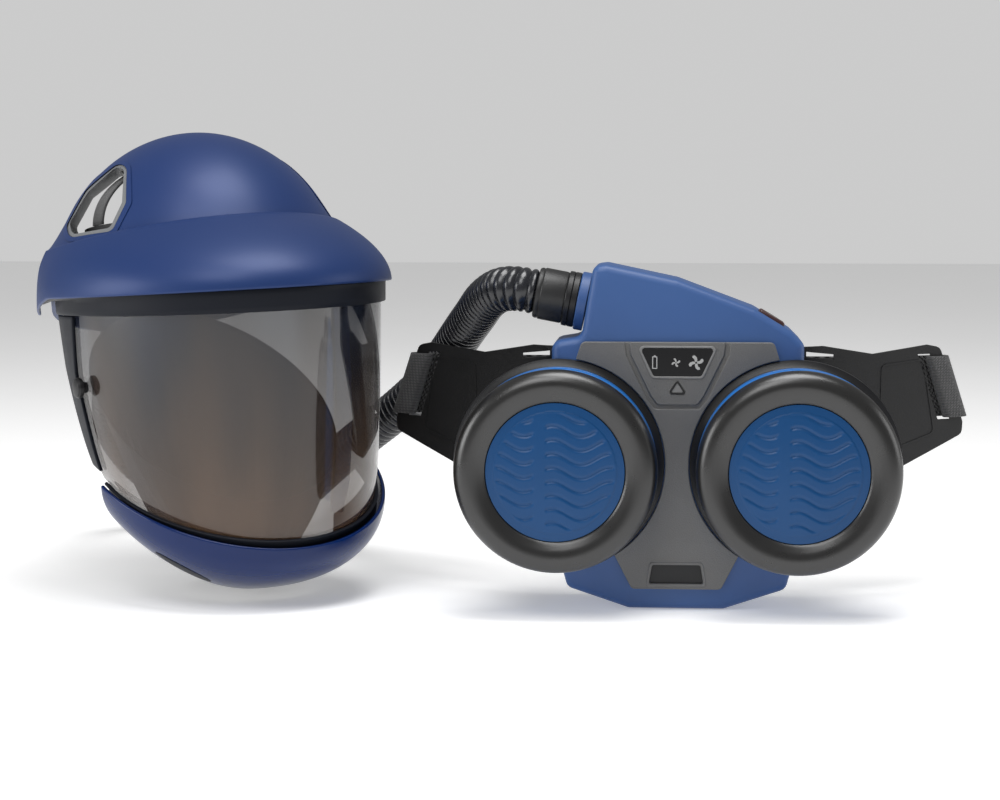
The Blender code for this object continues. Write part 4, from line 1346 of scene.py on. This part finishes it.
# ------------------------------------------------------------------ filters
@dataclass
class Filter:
    """One filter: adapter with a widened black flange as painted shadow in the plate's cutout, body,
    paper, cap and cover disc with its waves.
    """

    side_name: str
    side: float
    disc_radius: float = 0.0427
    cells: int = 150
    row_gap: float = 0.0085
    wave_length: float = 0.0353
    wave_height: float = 0.0033
    wave_depth: float = 0.00080
    wave_width: float = 0.0009
    crown: float = 0.0030
    rim_step: float = 0.00030
    rim_share: float = 0.885
    field_share: float = 0.865
    band_middle: float = 0.22
    band_half: float = 0.075

    @property
    def matrix(self) -> Matrix:
        """Place of the filter, its axis along -Y."""
        return (UNIT @ Matrix.Translation((self.side * FILTER_X, CASE_FRONT - GAP, FILTER_Z))
                @ Matrix.Rotation(math.pi / 2.0, 4, "X"))

    def build(self) -> None:
        """Make the filter's pieces."""
        body = "filter_" + self.side_name
        # The adapter's flange reaches out to fill the plate's round cutout: its black is painted shadow
        # for the dark gap round the filter.
        adapter = [(0.0620, 0.0050), (0.0640, 0.0034), (0.0664, 0.0026), (0.0666, 0.0004),
                   (0.0600, 0.0), (0.0230, 0.0), (0.0230, 0.0020), (0.0550, 0.0020),
                   (0.0590, 0.0050)]
        publish(turned(adapter, self.matrix), "filter_adapter_%s_finished" % self.side_name,
                "unit", Finish.BLACK, ("filter_adapter_" + self.side_name,))
        can = [(0.0612, 0.0245), (0.0618, 0.0240), (0.0622, 0.0230), (0.0622, 0.0165),
               (0.0617, 0.0160), (0.0622, 0.0155), (0.0622, 0.0095), (0.0550, 0.0060),
               (0.0218, 0.0060), (0.0218, -0.0030), (0.0192, -0.0030), (0.0192, 0.0085),
               (0.0593, 0.0105), (0.0593, 0.0245)]
        publish(turned(can, self.matrix, True, 128), "filter_body_%s_finished" % self.side_name,
                body, Finish.RING_BLUE, ("filter_body_" + self.side_name,))
        refined("filter_paper_" + self.side_name, body, Finish.PAPER, 0.0)
        crest = arc((0.0533, 0.0400), 0.0097, 100.0, 0.0, 14)
        lip = [(0.0431, 0.0424), (0.0431, 0.0458), (0.0434, 0.0463), (0.0450, 0.0471),
               (0.0475, 0.0484), (0.0498, 0.0493)]
        cap = (lip + crest
               + [(0.0628, 0.0360), (0.0624, 0.0315), (0.0612, 0.0252), (0.0608, 0.0248),
                  (0.0590, 0.0248), (0.0598, 0.0330), (0.0560, 0.0420), (0.0390, 0.0395),
                  (0.0390, 0.0415), (0.0428, 0.0418)])
        publish(turned(cap, self.matrix, True, 160), "filter_cap_%s_finished" % self.side_name,
                body, Finish.CAP_BLACK, ("filter_cap_" + self.side_name,), 55.0)
        self.cover_disc(body)

    def relief(self, x: float, y: float) -> float:
        """Height of the disc's face.

        Args:
            x: Across, towards +X.
            y: Up.

        Returns:
            Height over the disc's rim.
        """
        radius = self.disc_radius
        reach = math.hypot(x, y) / radius
        beyond_band = abs(x + self.band_middle * radius) / radius - self.band_half
        height = self.crown * (1.0 - reach * reach)
        height -= self.rim_step * (1.0 if reach > self.rim_share else 0.0)
        if reach < self.field_share and beyond_band > 0.0:
            phase = math.tau * (x + 0.03 * radius) / self.wave_length
            line = y - self.wave_height * math.cos(phase)
            off = (line / self.row_gap + 0.5) % 1.0 - 0.5
            slope = 1.0 + (self.wave_height * math.tau / self.wave_length
                           * math.sin(phase)) ** 2
            away = abs(off) * self.row_gap / math.sqrt(slope)
            fade = min((self.field_share - reach) / 0.05, 1.0) * min(beyond_band / 0.04, 1.0)
            height -= self.wave_depth * fade * math.exp(-(away / self.wave_width) ** 2)
        return height

    def cover_disc(self, body: str) -> None:
        """Blue disc with rows of sunk waves on both sides of a plain band.

        Args:
            body: The body that carries it.
        """
        shape = bmesh.new()
        bmesh.ops.create_grid(shape, x_segments=self.cells, y_segments=self.cells, size=1.0)
        for vertex in shape.verts:
            u, v = vertex.co.x, vertex.co.y
            x = u * math.sqrt(1.0 - v * v / 2.0) * self.disc_radius
            y = v * math.sqrt(1.0 - u * u / 2.0) * self.disc_radius
            vertex.co = Vector((x, y, 0.0461 + self.relief(x, y)))
        rim = [edge for edge in shape.edges if edge.is_boundary]
        for radius, height in ((1.0, 0.0452), (1.0, 0.0421)):
            grown = bmesh.ops.extrude_edge_only(shape, edges=rim)["geom"]
            rim = [item for item in grown if isinstance(item, bmesh.types.BMEdge)]
            for item in grown:
                if isinstance(item, bmesh.types.BMVert):
                    item.co.x *= radius
                    item.co.y *= radius
                    item.co.z = height
        bmesh.ops.contextual_create(shape, geom=rim)
        bmesh.ops.recalc_face_normals(shape, faces=shape.faces[:])
        shape.transform(self.matrix)
        publish(shape, "cover_disc_%s_finished" % self.side_name, body, Finish.DISC_BLUE,
                ("cover_disc_" + self.side_name,), 60.0)


# ------------------------------------------------------------------ belt
@dataclass
class Belt:
    """Belt plate with its wings, webbing and buckle."""

    wing_root: float = 0.086
    sweep: float = 0.36
    angle: float = math.radians(30.0)
    low: float = 0.1095
    high: float = 0.1505
    fine_steps: int = 4

    def sweep_back(self, x: float) -> float:
        """How far the plate runs back at this X."""
        beyond = max(abs(x) - self.wing_root, 0.0)
        return self.sweep * beyond + 1.2 * beyond * beyond

    def build(self) -> None:
        """Make the plate, its raised lines, the webbing and the buckle."""
        refined("belt_plate", "unit", Finish.WING_BLACK, 0.0007, 42.0, 3)
        refined("buckle_socket", "unit", Finish.WING_BLACK, 0.0)
        refined("buckle_plug", "buckle_plug", Finish.WING_BLACK, 0.0)
        for name, side in SIDES:
            self.webbing(name, side)
            self.panel_line(name, side)

    def strap_plan(self, height: float) -> list[Vector]:
        """Plan of the right webbing at a height.

        Args:
            height: The height.

        Returns:
            Points from the buckle round the wing's edge into its slot.
        """
        edge = mix(0.1895, 0.1730, (height - 0.1060) / 0.0500)
        corner = Vector((edge, BELT_FRONT + BELT_THICK / 2.0 + self.sweep_back(edge)))
        along = Vector((math.cos(self.angle), math.sin(self.angle)))
        behind = Vector((-along.y, along.x))
        wrap = [(0.0270, 0.0070), (0.0120, 0.0060), (0.0010, 0.0052), (-0.0024, 0.0040),
                (-0.0034, 0.0012), (-0.0026, -0.0018), (0.0006, -0.0036), (0.0060, -0.0038),
                (0.0112, -0.0037), (0.0134, -0.0024), (0.0138, 0.0004)]
        run = [Vector((0.0050, 0.0650)), Vector((0.0500, 0.0650)), Vector((0.0900, 0.0650)),
               Vector((0.1180, 0.0660)), Vector((0.1380, 0.0700))]
        points = run + [corner - along * inward + behind * back for inward, back in wrap]
        held = [points[0], *points, points[-1]]
        fine = []
        for i in range(len(points) - 1):
            fine += [spline(held[i:i + 4], k / self.fine_steps) for k in range(self.fine_steps)]
        return fine + [points[-1]]

    def webbing(self, name: str, side: float) -> None:
        """One woven strap.

        Args:
            name: left or right.
            side: -1 or 1.
        """
        last = len(self.strap_plan(0.13)) - 1

        def place(u: float, v: float) -> Vector:
            """Point on the strap."""
            height = mix(self.low, self.high, (v + 1.0) / 2.0)
            point = self.strap_plan(height)[round((u + 1.0) / 2.0 * last)]
            return Vector((side * point.x, point.y, height))

        shape = formed(last, 8, place, UNIT)
        strap = publish(shape, "belt_webbing_%s_woven" % name, "unit", Finish.WEBBING,
                        ("belt_webbing_" + name,), 60.0)
        add_wall(strap, 0.0016, 0.0)
        add_bevel(strap, 0.0004, 2, 60.0)

    def panel_line(self, name: str, side: float) -> None:
        """Raised border inside the wing's outline.

        Args:
            name: left or right.
            side: -1 or 1.
        """
        outer = rounded([(0.1320, 0.0860), (0.1700, 0.0990), (0.1620, 0.1490), (0.1330, 0.1460)],
                        0.004, 4)
        middle = Vector((0.149, 0.121))
        inner = [tuple(middle + (Vector(point) - middle) * 0.955) for point in outer]
        shape = flat_rim(outer, inner, BELT_FRONT)
        bmesh.ops.subdivide_edges(shape, edges=shape.edges[:], cuts=2, use_grid_fill=True)
        deepen(shape, -0.0005)
        for vertex in shape.verts:
            vertex.co.y += self.sweep_back(vertex.co.x) + 0.0001
            vertex.co.x *= side
        bmesh.ops.recalc_face_normals(shape, faces=shape.faces[:])
        shape.transform(UNIT)
        publish(shape, "wing_border_" + name, "unit", Finish.WING_BLACK)


# ------------------------------------------------------------------ helmet
@dataclass
class Helmet:
    """Dome shell, its windows, harness, air inlet and face seal."""

    form: HelmetForm
    wall: float = 0.003
    neck_height: float = 0.0060
    inlet_hole: float = 0.0165
    window_grow: float = 0.0025
    pad_low: float = 0.2180
    pad_high: float = 0.2395
    pad_spread: float = 1.1
    strap_half: float = 0.009

    def build(self) -> None:
        """Make every piece fixed to the dome."""
        self.shell()
        self.harness()
        self.face_seal()
        for node, finish, slot, bevel in (
                ("ratchet_housing", Finish.WING_BLACK, "matt_black", 0.0),
                ("pivot_pin_left", Finish.STEEL, "steel", 0.0003),
                ("pivot_pin_right", Finish.STEEL, "steel", 0.0003)):
            refined(node, "unit", finish, bevel)
        self.round_pieces()

    def round_pieces(self) -> None:
        """Air inlet and ratchet knob."""
        inlet = [(0.0156, 0.0400), (0.0160, 0.0395), (0.0160, 0.0100), (0.0125, 0.0100),
                 (0.0125, 0.0400)]
        publish(turned(inlet, self.form.inlet_matrix), "helmet_inlet_finished", "unit", Finish.WING_BLACK,
                ("helmet_inlet",))
        matrix = (self.form.matrix @ Matrix.Translation((0.0, 0.1193, 0.2120))
                  @ Matrix.Rotation(-math.pi / 2.0, 4, "X"))
        knob = [(0.0, 0.0070), (0.0050, 0.0070), (0.0085, 0.0066), (0.0094, 0.0055),
                (0.0095, 0.0), (0.0, 0.0)]
        shape = turned(knob, matrix, False, 48)
        for vertex in shape.verts:
            local = matrix.inverted() @ vertex.co
            if math.hypot(local.x, local.y) > 0.0084:
                ridge = 1.0 - 0.05 * (0.5 + 0.5 * math.cos(16.0 * math.atan2(local.y, local.x)))
                vertex.co = matrix @ Vector((local.x * ridge, local.y * ridge, local.z))
        publish(shape, "ratchet_knob_finished", "ratchet_knob", Finish.WING_BLACK,
                ("ratchet_knob",))

    def sphere(self, clearance: float, wall: float) -> bmesh.types.BMesh:
        """Dome with its wall, cut off below.

        Args:
            clearance: Distance outside the dome.
            wall: Wall thickness.

        Returns:
            The shell in the helmet's frame.
        """
        shape = bmesh.new()
        bmesh.ops.create_uvsphere(shape, u_segments=112, v_segments=64, radius=1.0)
        for vertex in shape.verts:
            vertex.co = self.form.dome_point(vertex.co.copy(), clearance)
        bmesh.ops.bisect_plane(shape, geom=shape.verts[:] + shape.edges[:] + shape.faces[:],
                               plane_co=(0.0, -0.090, 0.228), plane_no=(0.0, -0.33, -1.0),
                               clear_outer=True)
        bmesh.ops.recalc_face_normals(shape, faces=shape.faces[:])
        bmesh.ops.solidify(shape, geom=shape.faces[:], thickness=wall)
        return shape

    def shell(self) -> None:
        """Dome with its window openings, their rims and grey liners."""
        inlet = bmesh.new()
        bmesh.ops.create_cone(inlet, cap_ends=True, segments=48, radius1=self.inlet_hole,
                              radius2=self.inlet_hole, depth=0.08)
        turn = UP.rotation_difference(self.form.inlet_axis)
        inlet.transform(Matrix.Translation(self.form.inlet_at + self.form.inlet_axis * 0.02)
                        @ turn.to_matrix().to_4x4())
        openings = [self.form.window_bar(side, self.window_grow) for _, side in SIDES]
        mesh = carve(self.sphere(0.0, self.wall),
                     [(opening, "DIFFERENCE") for opening in (*openings, inlet)])
        mesh.transform(self.form.matrix)
        dome = publish(mesh, "helmet_shell_finished", "unit", Finish.HELMET_BLUE,
                       ("helmet_shell",), 40.0)
        add_bevel(dome, 0.0006, 2, 55.0)
        for name, side in SIDES:
            rim = self.window_frame(side, clearance=0.0006, wall=0.0030, outer=0.0062,
                                    inner=self.window_grow)
            piece = publish(rim, "window_rim_" + name, "unit", Finish.HELMET_BLUE,
                            (), 40.0)
            add_bevel(piece, 0.0004, 2, 55.0)
            liner = self.window_frame(side, clearance=-0.0003, wall=0.0075, outer=0.0023,
                                      inner=-0.0004)
            publish(liner, "window_liner_" + name, "unit", Finish.LINER_GREY, (),
                    40.0)

    def window_frame(self, side: float, clearance: float, wall: float, outer: float,
                     inner: float) -> bpy.types.Mesh:
        """Part of a shell that surrounds a window.

        Args:
            side: -1 for left, 1 for right.
            clearance: Distance of the shell outside the dome.
            wall: Thickness of the shell.
            outer: How much wider than the window it reaches.
            inner: How much wider than the window its opening is.

        Returns:
            The frame's mesh, in the world.
        """
        mesh = carve(self.sphere(clearance, wall),
                     [(self.form.window_bar(side, outer), "INTERSECT"),
                      (self.form.window_bar(side, inner), "DIFFERENCE")])
        mesh.transform(self.form.matrix)
        return mesh

    def harness(self) -> None:
        """Headband, sweatband and the two straps over the crown."""
        def band(u: float, v: float) -> Vector:
            """Point on the headband."""
            point = egg(0.0760, 0.0850, 0.0880, math.pi * u, self.form.centre,
                        mix(0.2080, 0.2360, (v + 1.0) / 2.0))
            point.z -= 0.10 * (point.y - self.form.centre)
            return point

        strip = publish(formed(96, 4, band, self.form.matrix, True), "headband_finished", "unit",
                        Finish.WING_BLACK, ("headband",))
        add_wall(strip, 0.0018 * self.form.size)
        add_bevel(strip, 0.0005, 2)
        self.sweatband()
        for name, heading in (("crown_strap_front", 0.0), ("crown_strap_side", 1.0)):
            def strap(u: float, v: float, heading: float = heading) -> Vector:
                """Point on the strap."""
                bow = u * math.radians(88.0)
                along, across = math.sin(bow), v * self.strap_half
                x, y = (0.0728 * along, across) if heading > 0.0 else (across, 0.0805 * along)
                height = (0.2320 + 0.0024 * heading + 0.0460 * math.cos(bow) ** 0.9 - 0.10 * y)
                return Vector((x, y + self.form.centre, height))

            shape = formed(64, 6, strap, self.form.matrix)
            bmesh.ops.recalc_face_normals(shape, faces=shape.faces[:])
            piece = publish(shape, name + "_woven", "unit", Finish.WEBBING, (name,),
                            60.0)
            add_wall(piece, 0.0014, 0.0)

    def sweatband(self) -> None:
        """Soft pad along the front of the headband."""
        def pad(u: float, v: float) -> Vector:
            """Point on the pad's swollen face."""
            swell = math.sqrt(max(1.0 - v * v, 0.0)) * math.sqrt(max(1.0 - u ** 6, 0.0))
            seam = 0.86 + 0.14 * abs(math.sin(u * math.pi * 4.5)) ** 0.3
            height = mix(self.pad_low, self.pad_high, (v + 1.0) / 2.0)
            inwards = 0.0030 * swell * seam
            return egg(0.0736 - inwards, 0.0826 - inwards, 0.0848 - inwards,
                       u * self.pad_spread, self.form.centre, height)

        def back(u: float, v: float) -> Vector:
            """Point on the pad's back."""
            height = mix(self.pad_low, self.pad_high, (v + 1.0) / 2.0)
            return egg(0.0738, 0.0828, 0.0850, u * self.pad_spread, self.form.centre, height)

        shape = formed(72, 10, pad, self.form.matrix)
        join(shape, formed(72, 10, back, self.form.matrix))
        bmesh.ops.remove_doubles(shape, verts=shape.verts[:], dist=0.0003)
        open_edges = [edge for edge in shape.edges if edge.is_boundary]
        if open_edges:
            bmesh.ops.holes_fill(shape, edges=open_edges, sides=8)
        bmesh.ops.recalc_face_normals(shape, faces=shape.faces[:])
        piece = publish(shape, "sweatband_padded", "unit", Finish.PAD, ("sweatband",),
                        60.0)

    def face_seal(self) -> None:
        """Gathered cloth skirt with an elastic hem at the neck."""
        def skirt(u: float, v: float) -> Vector:
            """Point on the cloth."""
            angle, share = math.pi * u, (v + 1.0) / 2.0
            nape = (1.0 - math.cos(angle)) / 2.0
            rise = mix(0.055, 0.170, nape)
            wide = share ** 0.8
            neck = mix(self.neck_height, self.form.seal_base, nape ** 3)
            fold = 0.0011 * math.sin(34.0 * angle) * (1.0 - share) ** 0.7 * min(share * 12.0, 1.0)
            sag = 0.0012 * math.sin(7.0 * angle + 4.0 * share) * math.sin(math.pi * share)
            inset = 0.0016 - fold - sag
            return egg(mix(0.0330, 0.0820, wide) - inset, mix(0.0400, 0.0960, wide) - inset,
                       mix(0.0400, 0.1050, wide) - inset, angle, mix(-0.020, 0.004, share),
                       mix(neck, rise, share))

        shape = formed(220, 40, skirt, self.form.matrix, True)
        area = sum(face.calc_area() for face in shape.faces)
        piece = publish(shape, "face_seal_cloth", "unit", Finish.CLOTH, ("face_seal",),
                        60.0)
        add_wall(piece, 0.0009, 0.0)
        hem_path = [self.form.matrix @ skirt(i / 60.0 - 1.0, -0.97) for i in range(120)]
        hem = self.cord_ring(hem_path, 0.0016)
        hem_piece = publish(hem, "face_seal_hem", "unit", Finish.PAD)
        LOG.info("face seal area %.4f m2", area)

    def cord_ring(self, path: Sequence[Vector], radius: float) -> bmesh.types.BMesh:
        """Closed round cord along a loop of points.

        Args:
            path: The loop.
            radius: Radius of the cord.

        Returns:
            The cord.
        """
        centre = sum(path, Vector()) / len(path)
        steps = 10

        def place(u: float, v: float) -> Vector:
            """Point on the cord."""
            index = round((u + 1.0) / 2.0 * len(path)) % len(path)
            point = path[index]
            outwards = point - centre
            outwards.z = 0.0
            outwards.normalize()
            turn = math.pi * v
            rim = outwards * math.cos(turn) + UP * math.sin(turn)
            return point + rim * radius

        shape = formed(len(path), steps, place, Matrix(), True)
        bmesh.ops.recalc_face_normals(shape, faces=shape.faces[:])
        return shape


# ------------------------------------------------------------------ visor
@dataclass
class Visor:
    """Lifting visor: brow cover, seal, lens, gasket, chin guard, arms and knobs."""

    form: HelmetForm
    brow_half: float = 0.1165
    brow_front: float = 0.1460
    brow_rear: float = 0.1300
    brow_spread: float = 118.0
    seal_spread: float = 106.0
    chin_spread: float = 84.0
    knob_angle: float = 85.0
    knob_share: float = 0.56
    band: float = 0.0030
    skirt: float = -0.05

    def sheet(self, name: str, node: str, place: Place, columns: int, rows: int, wall: float,
              finish: Finish, bevel: float = 0.0005) -> bpy.types.Object:
        """One formed piece of the visor.

        Args:
            name: Name of the piece.
            node: CAD node it stands for.
            place: Its surface.
            columns: Faces across.
            rows: Faces up.
            wall: Its thickness.
            finish: Its finish.
            bevel: Rounding of its edges.

        Returns:
            The piece.
        """
        piece = publish(formed(columns, rows, place, self.form.matrix), name, "visor", finish,
                        (node,), 45.0)
        add_wall(piece, wall * self.form.size)
        if bevel > 0.0:
            add_bevel(piece, bevel, 2, 50.0)
        return piece

    def build(self) -> None:
        """Make every piece of the visor."""
        self.sheet("brow_cover_finished", "brow_cover", self.brow, 120, 26, 0.0022,
                   Finish.HELMET_BLUE, 0.0008)
        self.sheet("brow_seal_finished", "brow_seal", self.seal, 110, 8, 0.0020,
                   Finish.SEAL_RUBBER)
        self.sheet("visor_lens_clear", "visor_lens", self.lens, 110, 24, 0.0015, Finish.LENS,
                   0.0)
        self.sheet("lens_gasket_finished", "lens_gasket", self.gasket, 110, 3, 0.0024,
                   Finish.SEAL_RUBBER)
        self.sheet("chin_guard_finished", "chin_guard", self.chin, 120, 22, 0.0025,
                   Finish.CHIN_BLUE, 0.0008)
        self.arms()
        self.knobs()
        self.painted_vent_shades()

    def brow(self, u: float, v: float) -> Vector:
        """Surface of the brow cover.

        Args:
            u: Across, from -1 to 1.
            v: Up, from -1 to 1.

        Returns:
            The point.
        """
        share = (v + 1.0) / 2.0
        angle = u * math.radians(self.brow_spread - 18.0 * share)
        outermost = math.radians(self.brow_spread)
        dip = 0.0110 * max(abs(angle) / outermost - 0.78, 0.0) / 0.22
        low = egg(self.brow_half, self.brow_front, self.brow_rear, angle, 0.0,
                  0.1900 + 0.0080 * math.cos(angle) - dip)
        high = self.form.dome_ring(angle, 0.2240 + 0.0200 * math.cos(angle), 0.0050)
        point = low.lerp(high, share ** 2.0)
        point.z = mix(low.z, high.z, share)
        return point

    def seal(self, u: float, v: float) -> Vector:
        """Surface of the seal: a band on the lens, then a flange to the brow.

        Args:
            u: Across, from -1 to 1.
            v: Up, from -1 to 1.

        Returns:
            The point.
        """
        angle = u * math.radians(self.seal_spread)
        if v <= 0.0:
            return self.form.lens_ring(angle, mix(0.950, 1.040, v + 1.0), self.band)
        band = self.form.lens_ring(angle, 1.040, self.band)
        brow = self.brow(angle / math.radians(self.brow_spread), -0.90)
        inside = Vector((0.0, 0.0, brow.z)) + (brow - Vector((0.0, 0.0, brow.z))) * 0.972
        return band.lerp(inside, v)

    def lens(self, u: float, v: float) -> Vector:
        """Surface of the lens."""
        share = mix(self.skirt, 1.0, (v + 1.0) / 2.0)
        return self.form.lens_ring(u * self.form.lens_end(share), share, 0.0)

    def gasket(self, u: float, v: float) -> Vector:
        """Surface of the gasket under the lens."""
        share = mix(-0.055, 0.012, (v + 1.0) / 2.0)
        return self.form.lens_ring(u * self.form.lens_end(share), share, self.band)

    def chin(self, u: float, v: float) -> Vector:
        """Surface of the chin guard.

        Args:
            u: Across, from -1 to 1.
            v: Up, from -1 to 1.

        Returns:
            The point.
        """
        angle, share = u * math.radians(self.chin_spread), (v + 1.0) / 2.0
        high = 0.0300 + 0.0430 * (1.0 - math.cos(angle))
        low = self.form.base + 0.0400 * (1.0 - math.cos(angle)) ** 1.5
        tuck = 0.40 + 0.30 * math.sqrt(max(math.cos(angle), 0.0))
        bowl = math.sqrt(1.0 - tuck * (1.0 - share) ** 2.2)
        return egg(0.1002 * bowl, 0.1116 * bowl, 0.1216 * bowl, angle, -0.025,
                   mix(low, high, share))

    def painted_vent_shades(self) -> None:
        """Dark oval sheets low on both sides of the chin guard: painted shade standing for the vent
        openings.
        """
        for name, side in SIDES:
            def place(u: float, v: float, side: float = side) -> Vector:
                """Point on the dark vent sheet."""
                radius = math.sqrt(max(1.0 - u * u, 0.0))
                point = self.chin(side * 0.60 + 0.13 * u, -0.52 + 0.24 * v * radius - 0.22 * u)
                away = Vector((point.x, point.y + 0.025, 0.0)).normalized()
                return point + away * 0.0003

            shape = formed(36, 6, place, self.form.matrix)
            piece = publish(shape, "chin_vent_shade_" + name, "visor", Finish.SEAL_RUBBER)
            add_wall(piece, 0.0006)

    def arms(self) -> None:
        """Side frames of the lens."""
        for name, side in SIDES:
            def arm(u: float, v: float, side: float = side) -> Vector:
                """Point on the arm."""
                share = mix(0.10, 0.945, (v + 1.0) / 2.0)
                inner = mix(4.0, 15.0, share)
                back = math.radians(mix(inner, -1.0, (u * side + 1.0) / 2.0))
                angle = side * (self.form.lens_end(share) - back)
                return self.form.lens_ring(angle, share, self.band)

            self.sheet("side_arm_%s_finished" % name, "side_arm_" + name, arm, 10, 40, 0.0024,
                       Finish.SEAL_RUBBER)

    def knobs(self) -> None:
        """Round knobs at the sides of the lens."""
        for name, side in SIDES:
            place = self.form.lens_ring(side * math.radians(self.knob_angle), self.knob_share,
                                        0.0006)
            matrix = (self.form.matrix @ Matrix.Translation(place)
                      @ Matrix.Rotation(side * math.pi / 2.0, 4, "Y"))
            knob = [(0.0, 0.0085), (0.0040, 0.0084), (0.0058, 0.0078), (0.0068, 0.0064),
                    (0.0068, 0.0044), (0.0062, 0.0038), (0.0040, 0.0032), (0.0035, 0.0),
                    (0.0, 0.0)]
            publish(turned(knob, matrix, False, 48), "visor_knob_%s_finished" % name,
                    "visor_knob_" + name, Finish.BLACK, ("visor_knob_" + name,))


def main() -> None:
    """Build the studio and every sub-assembly, then note the sizes."""
    logging.basicConfig(level=logging.INFO, format="%(name)s: %(message)s")
    form = HelmetForm()
    Studio().build()
    BreathingHose(form).build()
    FanUnit().build()
    for side_name, side in SIDES:
        Filter(side_name, side).build()
    Belt().build()
    Helmet(form).build()
    Visor(form).build()


if __name__ == "__main__":
    main()
